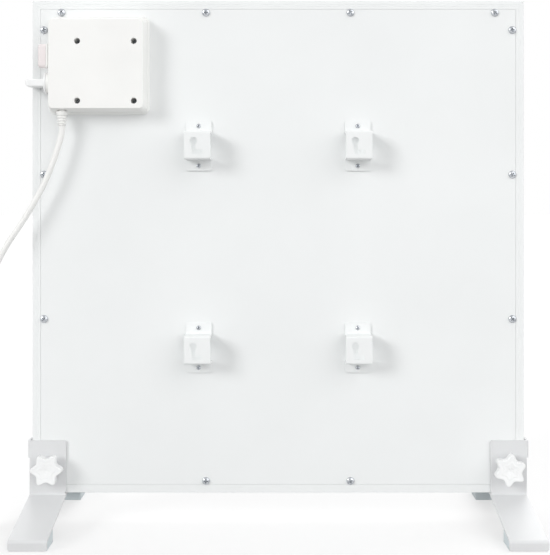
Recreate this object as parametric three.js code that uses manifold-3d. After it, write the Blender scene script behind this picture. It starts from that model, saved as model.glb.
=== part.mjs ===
// A 600 mm infrared panel heater, seen and used from both sides: a mitred aluminium frame holds a flat
// radiant sheet in front and a steel plate behind. The plate carries four wall brackets and a control box
// with a rocker switch, a thermostat knob and the mains lead. Two bent steel stands clamp on with star knobs.
// Millimetres, +Z up, the radiant face towards +Y. The origin is on the floor, under the panel's middle.

import * as THREE from 'three';
import { mergeVertices } from 'three/addons/utils/BufferGeometryUtils.js';
import Module from 'manifold-3d';

const wasm = await Module();
wasm.setup();

// ---------------------------------------------------------------- driving dimensions

const GAP = 0.3; // clearance between neighbouring pieces

// Panel
const PANEL_WIDTH = 600;
const PANEL_HEIGHT = 600;
const PANEL_THICKNESS = 22;
const PANEL_LIFT = 36; // floor to the panel's lower edge
const RAIL_WALL = 1.6;
const REAR_LIP = 9.8; // width of the frame that shows from behind
const FRONT_LIP = 6;
const LIP_STEP = 1.6; // web that steps from the rear lip to the ledge
const LEDGE_REACH = 28; // outer edge to the ledge's free edge
const LEDGE_WALL = 1.8;
const GROOVE_INSET = 1.3; // a shallow line along the rear lip
const GROOVE_WIDTH = 0.7;
const GROOVE_DEPTH = 0.4;
const PLATE_THICKNESS = 0.8;
const PLATE_RECESS = 0.2;
const RADIANT_THICKNESS = 1.2;
const FILM_THICKNESS = 0.6;
const FILM_MARGIN = 12;
const INSULATION_THICKNESS = 12;

// Screws that hold the back plate to the frame
const EDGE_SCREW_INSET = 14.2; // outer edge to the screw's axis
const EDGE_SCREW_END = 35.5; // panel corner to the first screw along a side
const EDGE_SCREW_GAPS = 3; // equal spaces between the screws of one side
const EDGE_HEAD_DIAMETER = 9.5;
const EDGE_HEAD_HEIGHT = 2.6;
const EDGE_SHANK_DIAMETER = 4;
const EDGE_SHANK_LENGTH = 5;
const CROSS_LENGTH = 5.2;
const CROSS_WIDTH = 1.2;
const CROSS_DEPTH = 1.4;

// Wall brackets
const BRACKET_SPACING_X = 194;
const BRACKET_SPACING_Z = 246;
const BRACKET_WIDTH = 31.5;
const BRACKET_HEIGHT = 60.5;
const BRACKET_HAT = 34; // height of the raised part
const BRACKET_STANDOFF = 30;
const BRACKET_SHEET = 2;
const BRACKET_BEND = 2.4; // outer bend radius
const BRACKET_SCREW_SPACING = 48.5;
const BRACKET_HEAD_DIAMETER = 6;
const BRACKET_HEAD_HEIGHT = 1.9;
const BRACKET_SHANK_DIAMETER = 3.2;
const BRACKET_SHANK_LENGTH = 6.2;
const KEYHOLE_DIAMETER = 8.8; // round entry that a wall screw's head passes
const KEYHOLE_X = -4.7;
const KEYHOLE_Z = 5.2;
const KEYHOLE_SLOT = 5.4;
const KEYHOLE_DROP = 16.2; // entry's middle to the slot's lower edge
const KEYHOLE_RUN = 14; // how far the cross slot goes sideways

// Control box: offsets are from the panel's left and top edges to the box's foot on the plate
const BOX_LEFT = 20.8;
const BOX_TOP = 19.5;
const BOX_WIDTH = 123.2;
const BOX_HEIGHT = 119.5;
const BOX_DEPTH = 27.7; // plate to the cover's outer face
const BOX_DRAFT = 6.2; // how far the top, right and bottom walls lean in over the depth
const BOX_DRAFT_LEFT = 3; // the wall with the controls leans less
const BOX_WALL = 2.2;
const BOX_CORNER = 9;
const BOX_ROUND = 0.8; // round along the cover's outer edge
const BASE_DEPTH = 9.5;
const SEAM_STEP = 0.9; // the cover stands in from the base all round
const WELL_DIAMETER = 7.2;
const WELL_WALL = 1.6;
const WELL_LEFT = 38; // box foot's left edge to the left wells
const WELL_RIGHT = 17.2; // and its right edge to the right wells
const WELL_BOTTOM = 15.2; // box foot's lower edge to the lower wells
const WELL_TOP = 32.7; // and its upper edge to the upper wells
const BOX_SCREW_HEAD = 6;
const BOX_SCREW_HEAD_HEIGHT = 2.2;
const BOX_SCREW_SHANK = 3;
const BOX_SCREW_REACH = 3; // how far the screw goes past the plate's back face

// Rocker switch in the box's left wall; heights are above the box foot's lower edge
const SWITCH_HEIGHT = 69.5;
const SWITCH_DEPTH = 18.3; // plate to the switch's axis
const SWITCH_LENGTH = 29;
const SWITCH_BREADTH = 14.6;
const SWITCH_BEZEL = 1.8;
const SWITCH_BODY_DEPTH = 20;
const SWITCH_RIM = 1.9; // bezel edge to the rocker's window
const ROCKER_POCKET = 9; // the housing's open depth behind the wall
const ROCKER_STEM = 6; // pivot to the stem's end
const ROCKER_PROUD = 3.4; // rocker's middle above the bezel
const ROCKER_TILT = 8; // degrees each way from the middle
const BOOT_PROUD = 9.2;
const BOOT_WALL = 1;
const BOOT_CORNER = 4;

// Thermostat
const DIAL_HEIGHT = 37;
const DIAL_DEPTH = 15; // plate to the knob's axis
const DIAL_DIAMETER = 25.6;
const DIAL_SKIRT = 2.6;
const DIAL_PROUD = 24.5; // skirt's inner face to the end of the grip
const GRIP_THICKNESS = 10;
const GRIP_BREADTH = 22.6;
const SPINDLE_DIAMETER = 6;
const SPINDLE_LENGTH = 12; // how far the spindle enters the knob
const THERMOSTAT_SIZE = 24;
const THERMOSTAT_DEPTH = 15;

// Parts inside the box
const TERMINAL_LENGTH = 34;
const TERMINAL_BREADTH = 17;
const TERMINAL_DEPTH = 14;
const TERMINAL_WAYS = 3;
const CUTOUT_DIAMETER = 16;
const CUTOUT_DEPTH = 10;
const WIRE_HOLE_DIAMETER = 14; // where the heater's tails come through the plate

// Mains lead
const LEAD_DIAMETER = 7.2;
const LEAD_SIDES = 8;
const LEAD_STEPS = 56;
const RELIEF_X = 18.2; // box foot's left edge to the lead's axis
const RELIEF_DEPTH = 17.3;
const RELIEF_LENGTH = 16.5; // outside the box
const RELIEF_FLANGE = 2; // locking flange inside the box
const RELIEF_INSIDE = 3; // past the flange
const RELIEF_TOP = 13.6;
const RELIEF_END = 10.4;
const RELIEF_NECK = 8;
const RELIEF_RIBS = 4;
const COIL_TURNS = 4.5;
const COIL_RADIUS = 51.7; // outer turn, at its middle
const COIL_PITCH = 7.75;
const COIL_STEPS = 24; // per turn
const COIL_SIDES = 6;
const TAIL_LENGTH = 60;
const PLUG_AXIS_HEIGHT = 6.4;
const PLUG_DIAMETER = 38;
const PLUG_HEIGHT = 23;
const PLUG_SLEEVE = 24;
const PIN_DIAMETER = 4.8;
const PIN_LENGTH = 19;
const PIN_SPACING = 19;

// Stands
const STAND_WIDTH = 44.4;
const STAND_SHEET = 2.3;
const STAND_SIDE_GAP = 3; // panel's side to the ear's inner face
const STAND_RISE = 64; // how far the upright reaches up the panel
const STAND_DEPTH = 274; // tip to tip
const STAND_TIP_HEIGHT = 11.7;
const STAND_FALL = 1.4; // panel's lower edge down to the leg's top at the fold
const STAND_TIP_LIFT = 0.5; // the folded tip stays just off the floor
const EAR_HEIGHT = 21;
const EAR_REACH = 20; // along the panel's side, from its back face
const RELIEF_NOTCH = 3; // round bend relief at the fold
const FOOT_LENGTH = 36;

// Star knobs
const KNOB_INSET = 20.3; // panel's side to the knob's axis
const KNOB_RISE = 31; // panel's lower edge to the knob's axis
const KNOB_LOBES = 6;
const KNOB_RADIUS = 15.7;
const KNOB_LOBE = 3.25; // how far the lobes stand past the mean radius
const KNOB_HEAD = 13.5;
const KNOB_EDGE = 1.3;
const KNOB_NECK = 5;
const KNOB_NECK_DIAMETER = 22;
const STUD_DIAMETER = 8;
const STUD_CLEARANCE = 0.35;
const STUD_REACH = 9; // past the frame's back face
const BOSS_DIAMETER = 15;
const BOSS_HEIGHT = 4;
const WASHER_DIAMETER = 19;
const WASHER_THICKNESS = 1.4;

// ---------------------------------------------------------------- finishes

function finish(colour, roughness, metalness = 0) {
  return new THREE.MeshStandardMaterial({ color: colour, roughness, metalness });
}

const whiteCoat = finish(0xeceef0, 0.45);
const standCoat = finish(0xe2e4e7, 0.42);
const boxPlastic = finish(0xf1f0ec, 0.5);
const knobPlastic = finish(0xf3f3f1, 0.45);
const leadPvc = finish(0xf0f0ee, 0.55);
const zinc = finish(0xb8bcc0, 0.25, 1);
const radiantCoat = finish(0xf4f5f6, 0.6);
const carbonFilm = finish(0x2b2b2d, 0.7);
const mineralWool = finish(0xd9d2b4, 0.95);
const footPlastic = finish(0xd2d6d9, 0.6);
const switchPlastic = finish(0xe9e8e4, 0.5);
const rockerRed = finish(0xd2202a, 0.3);
const clearSilicone = finish(0xe8e4e4, 0.15);
clearSilicone.transparent = true;
clearSilicone.opacity = 0.4;
const nylon = finish(0xe6e2d6, 0.5);

// ---------------------------------------------------------------- solids and their joining

// Merged vertices and no collapsed triangles, with the faces turned outwards.
function closed(geometry) {
  const bare = geometry.clone();
  Object.keys(bare.attributes).forEach((name) => name !== 'position' && bare.deleteAttribute(name));
  const merged = mergeVertices(bare, 1e-4);
  const places = merged.attributes.position;
  const index = merged.index.array;
  const kept = [];
  let volume = 0;
  const [a, b, c] = [0, 1, 2].map(() => new THREE.Vector3());
  for (let i = 0; i < index.length; i += 3) {
    const [p, q, r] = [index[i], index[i + 1], index[i + 2]];
    if (p === q || q === r || r === p) continue;
    kept.push(p, q, r);
    a.fromBufferAttribute(places, p);
    b.fromBufferAttribute(places, q);
    c.fromBufferAttribute(places, r);
    volume += a.dot(b.cross(c));
  }
  if (volume < 0) kept.reverse();
  merged.setIndex(kept);
  return merged;
}

function toManifold(geometry) {
  const { attributes, index } = closed(geometry);
  const vertProperties = new Float32Array(attributes.position.array);
  const triVerts = new Uint32Array(index.array);
  return new wasm.Manifold(new wasm.Mesh({ numProp: 3, vertProperties, triVerts }));
}

function toGeometry(manifold) {
  const mesh = manifold.getMesh();
  const geometry = new THREE.BufferGeometry();
  geometry.setAttribute('position', new THREE.BufferAttribute(mesh.vertProperties, 3));
  geometry.setIndex(new THREE.BufferAttribute(mesh.triVerts, 1));
  return geometry;
}

function join(first, ...others) {
  return toGeometry(others.reduce((body, g) => body.add(toManifold(g)), toManifold(first)));
}

function cut(first, ...others) {
  return toGeometry(others.reduce((body, g) => body.subtract(toManifold(g)), toManifold(first)));
}

function named(name, geometry, material, position = [0, 0, 0]) {
  const mesh = new THREE.Mesh(closed(geometry), material);
  mesh.name = name;
  mesh.position.set(...position);
  return mesh;
}

// ---------------------------------------------------------------- shapes

// Corners are [a, b, radius]; a corner with a radius becomes an arc.
function outline(corners, steps = 4) {
  return corners.flatMap(([a, b, radius = 0], i) => {
    const here = new THREE.Vector2(a, b);
    if (radius <= 0) return [here];
    const back = new THREE.Vector2(...corners.at(i - 1)).sub(here).normalize();
    const ahead = new THREE.Vector2(...corners[(i + 1) % corners.length]).sub(here).normalize();
    const half = Math.acos(THREE.MathUtils.clamp(back.dot(ahead), -1, 1)) / 2;
    const centre = back.clone().add(ahead).setLength(radius / Math.sin(half)).add(here);
    const start = back.multiplyScalar(radius / Math.tan(half)).add(here).sub(centre);
    const end = ahead.multiplyScalar(radius / Math.tan(half)).add(here).sub(centre);
    const sweep = Math.atan2(start.cross(end), start.dot(end));
    return Array.from({ length: steps + 1 }, (_, k) =>
      start.clone().rotateAround(new THREE.Vector2(), (sweep * k) / steps).add(centre));
  });
}

function rectangle(a0, b0, a1, b1, radius = 0, steps = 4) {
  return outline([[a0, b0, radius], [a1, b0, radius], [a1, b1, radius], [a0, b1, radius]], steps);
}

function extruded(points, depth) {
  return new THREE.ExtrudeGeometry(new THREE.Shape(points), { depth, bevelEnabled: false });
}

const alongX = new THREE.Matrix4().makeBasis(
  new THREE.Vector3(0, 1, 0), new THREE.Vector3(0, 0, 1), new THREE.Vector3(1, 0, 0));
const alongY = new THREE.Matrix4().makeBasis(
  new THREE.Vector3(1, 0, 0), new THREE.Vector3(0, 0, 1), new THREE.Vector3(0, -1, 0));

// An outline drawn in y and z, from x0 to x1.
function prismX(points, x0, x1) {
  return extruded(points, x1 - x0).translate(0, 0, x0).applyMatrix4(alongX);
}

// An outline drawn in x and z, from y0 to y1.
function prismY(points, y0, y1) {
  return extruded(points, y1 - y0).translate(0, 0, -y1).applyMatrix4(alongY);
}

function block(x0, x1, y0, y1, z0, z1) {
  const box = new THREE.BoxGeometry(x1 - x0, y1 - y0, z1 - z0);
  return box.translate((x0 + x1) / 2, (y0 + y1) / 2, (z0 + z1) / 2);
}

// A round bar along Y, centred on (x, z).
function barY(diameter, y0, y1, x = 0, z = 0, sides = 12) {
  const bar = new THREE.CylinderGeometry(diameter / 2, diameter / 2, y1 - y0, sides);
  return bar.translate(x, (y0 + y1) / 2, z);
}

// A profile of [radius, height] turned about Z.
function turned(profile, sides = 16) {
  const points = profile.map(([radius, height]) => new THREE.Vector2(radius, height));
  return closed(new THREE.LatheGeometry(points, sides).rotateX(Math.PI / 2));
}

// Rings of equal length joined by side faces and closed at both ends by a fan.
function lofted(rings) {
  const count = rings[0].length;
  const places = rings.flat();
  const faces = [];
  for (let k = 0; k < rings.length - 1; k += 1) {
    for (let i = 0; i < count; i += 1) {
      const a = k * count + i;
      const b = k * count + ((i + 1) % count);
      faces.push(a, b, b + count, a, b + count, a + count);
    }
  }
  [[rings[0], 0, true], [rings.at(-1), (rings.length - 1) * count, false]].forEach(([ring, first, back]) => {
    const middle = ring.reduce((sum, p) => sum.add(p), new THREE.Vector3()).divideScalar(count);
    places.push(middle);
    for (let i = 0; i < count; i += 1) {
      const pair = [first + i, first + ((i + 1) % count)];
      faces.push(places.length - 1, ...(back ? pair.reverse() : pair));
    }
  });
  const geometry = new THREE.BufferGeometry().setFromPoints(places);
  geometry.setIndex(faces);
  return closed(geometry);
}

// ---------------------------------------------------------------- depths shared by the pieces

const frameBack = -PANEL_THICKNESS / 2;
const frameFront = PANEL_THICKNESS / 2;
const plateBack = frameBack + PLATE_RECESS;
const plateFront = plateBack + PLATE_THICKNESS;
const ledgeBack = plateFront + GAP;
const ledgeFront = ledgeBack + LEDGE_WALL;
const radiantFront = frameFront - RAIL_WALL - GAP;
const radiantBack = radiantFront - RADIANT_THICKNESS;
const filmBack = radiantBack - GAP - FILM_THICKNESS;
const insulationFront = filmBack - GAP;
const seat = plateBack - GAP; // where things stand on the plate
const halfWidth = PANEL_WIDTH / 2;
const halfHeight = PANEL_HEIGHT / 2;

const knobX = halfWidth - KNOB_INSET;
const knobZ = KNOB_RISE - halfHeight;
const boxFoot = {
  left: BOX_LEFT - halfWidth,
  bottom: halfHeight - BOX_TOP - BOX_HEIGHT,
};
const wells = [WELL_LEFT, BOX_WIDTH - WELL_RIGHT].flatMap((across) =>
  [WELL_BOTTOM, BOX_HEIGHT - WELL_TOP].map((up) => ({ x: boxFoot.left + across, z: boxFoot.bottom + up })));
const brackets = [['upper', 1], ['lower', -1]].flatMap(([level, up]) =>
  [['left', -1], ['right', 1]].map(([side, across]) => ({
    name: `${level}_${side}`,
    x: (across * BRACKET_SPACING_X) / 2,
    z: (up * BRACKET_SPACING_Z) / 2,
  })));

// Screws stand at equal steps along each side. The two at each lower corner are left out, because
// the stand's upright lies there and its stud goes into the frame instead.
function edgeScrewPlaces() {
  const along = (half) => Array.from({ length: EDGE_SCREW_GAPS + 1 }, (_, i) =>
    (half - EDGE_SCREW_END) * ((2 * i) / EDGE_SCREW_GAPS - 1));
  const acrossX = halfWidth - EDGE_SCREW_INSET;
  const acrossZ = halfHeight - EDGE_SCREW_INSET;
  return [
    ...along(halfWidth).map((x, i) => ({ name: `top_${i + 1}`, x, z: acrossZ })),
    ...along(halfWidth).slice(1, -1).map((x, i) => ({ name: `bottom_${i + 1}`, x, z: -acrossZ })),
    ...along(halfHeight).slice(1).map((z, i) => ({ name: `left_${i + 1}`, x: -acrossX, z })),
    ...along(halfHeight).slice(1).map((z, i) => ({ name: `right_${i + 1}`, x: acrossX, z })),
  ];
}

// ---------------------------------------------------------------- panel

// The rail's section, drawn inwards (a) from the frame's outer edge and along y (b).
function railSection() {
  const lipFront = frameBack + RAIL_WALL;
  return [
    [0, frameBack], [GROOVE_INSET, frameBack], [GROOVE_INSET, frameBack + GROOVE_DEPTH],
    [GROOVE_INSET + GROOVE_WIDTH, frameBack + GROOVE_DEPTH], [GROOVE_INSET + GROOVE_WIDTH, frameBack],
    [REAR_LIP, frameBack], [REAR_LIP, ledgeBack], [LEDGE_REACH, ledgeBack], [LEDGE_REACH, ledgeFront],
    [REAR_LIP - LIP_STEP, ledgeFront], [REAR_LIP - LIP_STEP, lipFront], [RAIL_WALL, lipFront],
    [RAIL_WALL, frameFront - RAIL_WALL], [FRONT_LIP, frameFront - RAIL_WALL], [FRONT_LIP, frameFront],
    [0, frameFront],
  ].map(([a, b]) => new THREE.Vector2(a, b));
}

// A rail laid along +X with its outer edge on z = 0 and its inside towards +Z, mitred at both ends.
function rail(length) {
  const geometry = extruded(railSection(), length);
  const places = geometry.attributes.position;
  for (let i = 0; i < places.count; i += 1) {
    const inward = places.getX(i) + GAP / 2;
    const end = places.getZ(i) > length / 2 ? length / 2 - inward : inward - length / 2;
    places.setXYZ(i, end, places.getY(i), places.getX(i));
  }
  return closed(geometry);
}

function frameRails(screws) {
  const sides = [
    { name: 'bottom', length: PANEL_WIDTH, turn: 0, x: 0, z: -halfHeight },
    { name: 'right', length: PANEL_HEIGHT, turn: -Math.PI / 2, x: halfWidth, z: 0 },
    { name: 'top', length: PANEL_WIDTH, turn: Math.PI, x: 0, z: halfHeight },
    { name: 'left', length: PANEL_HEIGHT, turn: Math.PI / 2, x: -halfWidth, z: 0 },
  ];
  return sides.map(({ name, length, turn, x, z }) => {
    let body = rail(length).rotateY(turn).translate(x, 0, z);
    if (name === 'left' || name === 'right') {
      const across = Math.sign(x) * knobX;
      const boss = barY(BOSS_DIAMETER, ledgeFront - LEDGE_WALL / 2, ledgeFront + BOSS_HEIGHT, across, knobZ, 16);
      const bore = barY(STUD_DIAMETER + 2 * STUD_CLEARANCE, ledgeBack - 1, ledgeFront + BOSS_HEIGHT + 1, across, knobZ, 16);
      body = cut(join(body, boss), bore);
    }
    const holes = screws.filter((screw) => screw.name.startsWith(name)).map((screw) =>
      barY(EDGE_SHANK_DIAMETER + 2 * GAP, ledgeBack - 1, ledgeFront + 1, screw.x, screw.z, 8));
    return named(`frame_${name}`, cut(body, ...holes), whiteCoat);
  });
}

function backPlate(screws) {
  const x = halfWidth - REAR_LIP - GAP;
  const z = halfHeight - REAR_LIP - GAP;
  const hole = (diameter, place, sides = 8) =>
    barY(diameter + 2 * GAP, plateBack - 1, plateFront + 1, place.x, place.z, sides);
  const bracketHoles = brackets.flatMap((bracket) => [-1, 1].map((end) =>
    hole(BRACKET_SHANK_DIAMETER, { x: bracket.x, z: bracket.z + (end * BRACKET_SCREW_SPACING) / 2 })));
  const studHoles = [-knobX, knobX].map((across) => hole(STUD_DIAMETER, { x: across, z: knobZ }, 16));
  const wires = barY(WIRE_HOLE_DIAMETER, plateBack - 1, plateFront + 1, wireHole.x, wireHole.z, 14);
  return cut(
    block(-x, x, plateBack, plateFront, -z, z),
    ...screws.map((screw) => hole(EDGE_SHANK_DIAMETER, screw)),
    ...wells.map((well) => hole(BOX_SCREW_SHANK, well)),
    ...bracketHoles, ...studHoles, wires,
  );
}

const wireHole = {
  x: boxFoot.left + BOX_WIDTH / 2,
  z: boxFoot.bottom + BOX_HEIGHT * 0.5,
};

// A pan head on Z, its flat underside at 0 and its shank below.
function screwBody(headDiameter, headHeight, shankDiameter, shankLength, sides = 10) {
  const head = headDiameter / 2;
  return turned([
    [0, -shankLength - shankDiameter * 0.3], [shankDiameter / 2, -shankLength], [shankDiameter / 2, 0],
    [head, 0], [head, headHeight * 0.35], [head * 0.72, headHeight], [0, headHeight],
  ], sides);
}

// A screw that points into the panel from behind, with its head on the plane y = 0.
function screw(geometry) {
  return geometry.clone().rotateX(Math.PI / 2);
}

function crossCut(top) {
  const half = CROSS_LENGTH / 2;
  const thin = CROSS_WIDTH / 2;
  return [
    block(-half, half, -thin, thin, top - CROSS_DEPTH, top + 1),
    block(-thin, thin, -half, half, top - CROSS_DEPTH, top + 1),
  ];
}

function panel() {
  const group = new THREE.Group();
  const screws = edgeScrewPlaces();
  const rx = halfWidth - RAIL_WALL - GAP;
  const rz = halfHeight - RAIL_WALL - GAP;
  const fx = halfWidth - FILM_MARGIN;
  const fz = halfHeight - FILM_MARGIN;
  const ix = halfWidth - LEDGE_REACH - GAP;
  const iz = halfHeight - LEDGE_REACH - GAP;
  group.add(...frameRails(screws));
  group.add(named('radiant_panel', block(-rx, rx, radiantBack, radiantFront, -rz, rz), radiantCoat));
  group.add(named('heating_film', block(-fx, fx, filmBack, filmBack + FILM_THICKNESS, -fz, fz), carbonFilm));
  group.add(named('insulation_pad', block(
    -ix, ix, insulationFront - INSULATION_THICKNESS, insulationFront, -iz, iz), mineralWool));
  group.add(named('back_plate', backPlate(screws), whiteCoat));
  const body = cut(
    screwBody(EDGE_HEAD_DIAMETER, EDGE_HEAD_HEIGHT, EDGE_SHANK_DIAMETER, EDGE_SHANK_LENGTH),
    ...crossCut(EDGE_HEAD_HEIGHT));
  screws.forEach(({ name, x, z }) =>
    group.add(named(`edge_screw_${name}`, screw(body), zinc, [x, frameBack - GAP, z])));
  return group;
}

// ---------------------------------------------------------------- wall brackets

// The L-shaped slot that hangs the panel on a wall screw: a round entry, a drop and a run to the side.
function keyhole(y0, y1) {
  const left = KEYHOLE_X - KEYHOLE_SLOT / 2;
  const low = KEYHOLE_Z - KEYHOLE_DROP;
  return join(
    barY(KEYHOLE_DIAMETER, y0, y1, KEYHOLE_X, KEYHOLE_Z, 16),
    block(left, left + KEYHOLE_SLOT, y0, y1, low, KEYHOLE_Z),
    block(left, left + KEYHOLE_RUN, y0, y1, low, low + KEYHOLE_SLOT),
  );
}

function wallBracket() {
  const foot = seat;
  const top = frameBack - BRACKET_STANDOFF;
  const hat = BRACKET_HAT / 2;
  const end = BRACKET_HEIGHT / 2;
  const sheet = BRACKET_SHEET;
  const inner = Math.max(BRACKET_BEND - sheet, 0.3);
  const strip = outline([
    [foot, -end], [foot, -hat + sheet, BRACKET_BEND], [top + sheet, -hat + sheet, inner],
    [top + sheet, hat - sheet, inner], [foot, hat - sheet, BRACKET_BEND], [foot, end],
    [foot - sheet, end], [foot - sheet, hat, inner], [top, hat, BRACKET_BEND],
    [top, -hat, BRACKET_BEND], [foot - sheet, -hat, inner], [foot - sheet, -end],
  ], 3);
  const half = BRACKET_WIDTH / 2;
  const holes = [-1, 1].map((side) => barY(
    BRACKET_SHANK_DIAMETER + 2 * GAP, foot - sheet - 1, foot + 1, 0, (side * BRACKET_SCREW_SPACING) / 2, 10));
  return cut(prismX(strip, -half, half), keyhole(top - 1, top + sheet + 1), ...holes);
}

function wallBrackets() {
  const group = new THREE.Group();
  const bracket = wallBracket();
  const body = screw(screwBody(
    BRACKET_HEAD_DIAMETER, BRACKET_HEAD_HEIGHT, BRACKET_SHANK_DIAMETER, BRACKET_SHANK_LENGTH, 8));
  const headY = seat - BRACKET_SHEET - GAP;
  brackets.forEach(({ name, x, z }) => {
    group.add(named(`wall_bracket_${name}`, bracket, whiteCoat, [x, 0, z]));
    [['upper', 1], ['lower', -1]].forEach(([place, up]) => group.add(named(
      `bracket_screw_${name}_${place}`, body, zinc, [x, headY, z + (up * BRACKET_SCREW_SPACING) / 2])));
  });
  return group;
}

// ---------------------------------------------------------------- control box

// The box's outline at a depth t from the plate, drawn in by an inset.
function boxRing(t, inset) {
  const lean = (BOX_DRAFT * t) / BOX_DEPTH + inset;
  const leanLeft = (BOX_DRAFT_LEFT * t) / BOX_DEPTH + inset;
  const corner = Math.max(BOX_CORNER - inset, 1);
  return rectangle(
    boxFoot.left + leanLeft, boxFoot.bottom + lean,
    boxFoot.left + BOX_WIDTH - lean, boxFoot.bottom + BOX_HEIGHT - lean, corner,
  ).map(({ x, y }) => new THREE.Vector3(x, plateBack - t, y));
}

function boxLoft(levels) {
  return lofted(levels.map(([t, inset]) => boxRing(t, inset)));
}

// The control wall's outer face at a depth t.
function leftWall(t) {
  return boxFoot.left + (BOX_DRAFT_LEFT * t) / BOX_DEPTH + SEAM_STEP;
}

const switchY = plateBack - SWITCH_DEPTH;
const switchZ = boxFoot.bottom + SWITCH_HEIGHT;
const bezelX = leftWall(SWITCH_DEPTH - SWITCH_BREADTH / 2) - GAP;
const dialY = plateBack - DIAL_DEPTH;
const dialZ = boxFoot.bottom + DIAL_HEIGHT;
const skirtX = boxFoot.left - GAP;
const reliefX = boxFoot.left + RELIEF_X;
const reliefY = plateBack - RELIEF_DEPTH;
const reliefLean = ((BOX_DRAFT / BOX_DEPTH) * RELIEF_TOP) / 2; // the wall leans this much over the sleeve's radius
const reliefZ = boxFoot.bottom + (BOX_DRAFT * RELIEF_DEPTH) / BOX_DEPTH + SEAM_STEP - reliefLean - GAP;
const switchBodyHalf = { y: SWITCH_BREADTH / 2 - SWITCH_RIM + 0.6, z: SWITCH_LENGTH / 2 - SWITCH_RIM + 0.6 };
const wellFloor = BASE_DEPTH + GAP; // the wells' closed ends meet the base's posts
const postDiameter = WELL_DIAMETER + 2 * WELL_WALL;

function boxBase() {
  const tray = cut(
    boxLoft([[GAP, 0], [BASE_DEPTH, 0]]),
    boxLoft([[GAP + BOX_WALL, BOX_WALL], [BASE_DEPTH + 1, BOX_WALL]]),
  );
  const posts = wells.map(({ x, z }) =>
    barY(postDiameter, plateBack - BASE_DEPTH, plateBack - GAP - BOX_WALL / 2, x, z, 16));
  const holes = wells.map(({ x, z }) =>
    barY(BOX_SCREW_SHANK + 2 * GAP, plateBack - BASE_DEPTH - 1, plateBack, x, z, 10));
  const wires = barY(WIRE_HOLE_DIAMETER, plateBack - GAP - BOX_WALL - 1, plateBack, wireHole.x, wireHole.z, 14);
  return cut(join(tray, ...posts), ...holes, wires);
}

function boxCover() {
  const edge = BOX_ROUND;
  const shell = cut(
    boxLoft([
      [BASE_DEPTH + GAP, SEAM_STEP], [BOX_DEPTH - edge, SEAM_STEP],
      [BOX_DEPTH - edge * 0.3, SEAM_STEP + edge * 0.3], [BOX_DEPTH, SEAM_STEP + edge],
    ]),
    boxLoft([[BASE_DEPTH - 1, SEAM_STEP + BOX_WALL], [BOX_DEPTH - BOX_WALL, SEAM_STEP + BOX_WALL]]),
  );
  const tubes = wells.map(({ x, z }) => barY(
    postDiameter, plateBack - BOX_DEPTH + BOX_WALL / 2, plateBack - wellFloor, x, z, 16));
  const bores = wells.map(({ x, z }) => barY(
    WELL_DIAMETER, plateBack - BOX_DEPTH - 1, plateBack - wellFloor - BOX_WALL, x, z, 16));
  const holes = wells.map(({ x, z }) => barY(
    BOX_SCREW_SHANK + 2 * GAP, plateBack - wellFloor - BOX_WALL - 1, plateBack, x, z, 10));
  const through = { x0: boxFoot.left - 1, x1: boxFoot.left + BOX_CORNER };
  const switchWindow = block(
    through.x0, through.x1, switchY - switchBodyHalf.y - GAP, switchY + switchBodyHalf.y + GAP,
    switchZ - switchBodyHalf.z - GAP, switchZ + switchBodyHalf.z + GAP);
  const dialHole = barY(SPINDLE_DIAMETER + 2 * GAP, -through.x1, -through.x0)
    .rotateZ(Math.PI / 2).translate(0, dialY, dialZ);
  const reliefHole = barY(RELIEF_NECK + 2 * GAP, boxFoot.bottom - 1, boxFoot.bottom + BOX_CORNER)
    .rotateX(Math.PI / 2).translate(reliefX, reliefY, 0);
  return cut(join(shell, ...tubes), ...bores, ...holes, switchWindow, dialHole, reliefHole);
}

// A snap-in housing: a bezel outside the wall and an open-fronted body inside it.
function switchHousing() {
  const { y, z } = switchBodyHalf;
  const bezel = prismX(
    rectangle(-SWITCH_BREADTH / 2, -SWITCH_LENGTH / 2, SWITCH_BREADTH / 2, SWITCH_LENGTH / 2, 1.6, 3),
    -SWITCH_BEZEL, 0);
  const body = block(-SWITCH_BEZEL / 2, SWITCH_BODY_DEPTH, -y, y, -z, z);
  const pocket = rockerPocket();
  return cut(join(bezel, body), block(
    -SWITCH_BEZEL - 1, pocket.depth, -pocket.y, pocket.y, -pocket.z, pocket.z));
}

function rockerPocket() {
  return {
    y: SWITCH_BREADTH / 2 - SWITCH_RIM,
    z: SWITCH_LENGTH / 2 - SWITCH_RIM,
    depth: ROCKER_POCKET,
  };
}

// The rocker's side view about its pivot: two shallow faces that meet in the middle, over a short stem.
function rocker() {
  const pocket = rockerPocket();
  const half = pocket.z - 1.4;
  const crown = -SWITCH_BEZEL - ROCKER_PROUD;
  const rise = half * Math.tan(THREE.MathUtils.degToRad(ROCKER_TILT));
  const side = outline([
    [crown, 0], [crown - rise * 0.35, half, 1], [-SWITCH_BEZEL + 2, half * 0.93],
    [2.5, 4], [ROCKER_STEM, 2.5, 1], [ROCKER_STEM, -2.5, 1], [2.5, -4], [-SWITCH_BEZEL + 2, -half * 0.93],
    [crown - rise * 0.35, -half, 1],
  ], 3);
  const wide = pocket.y - GAP;
  return prismY(side, -wide, wide).rotateY(THREE.MathUtils.degToRad(ROCKER_TILT));
}

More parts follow.
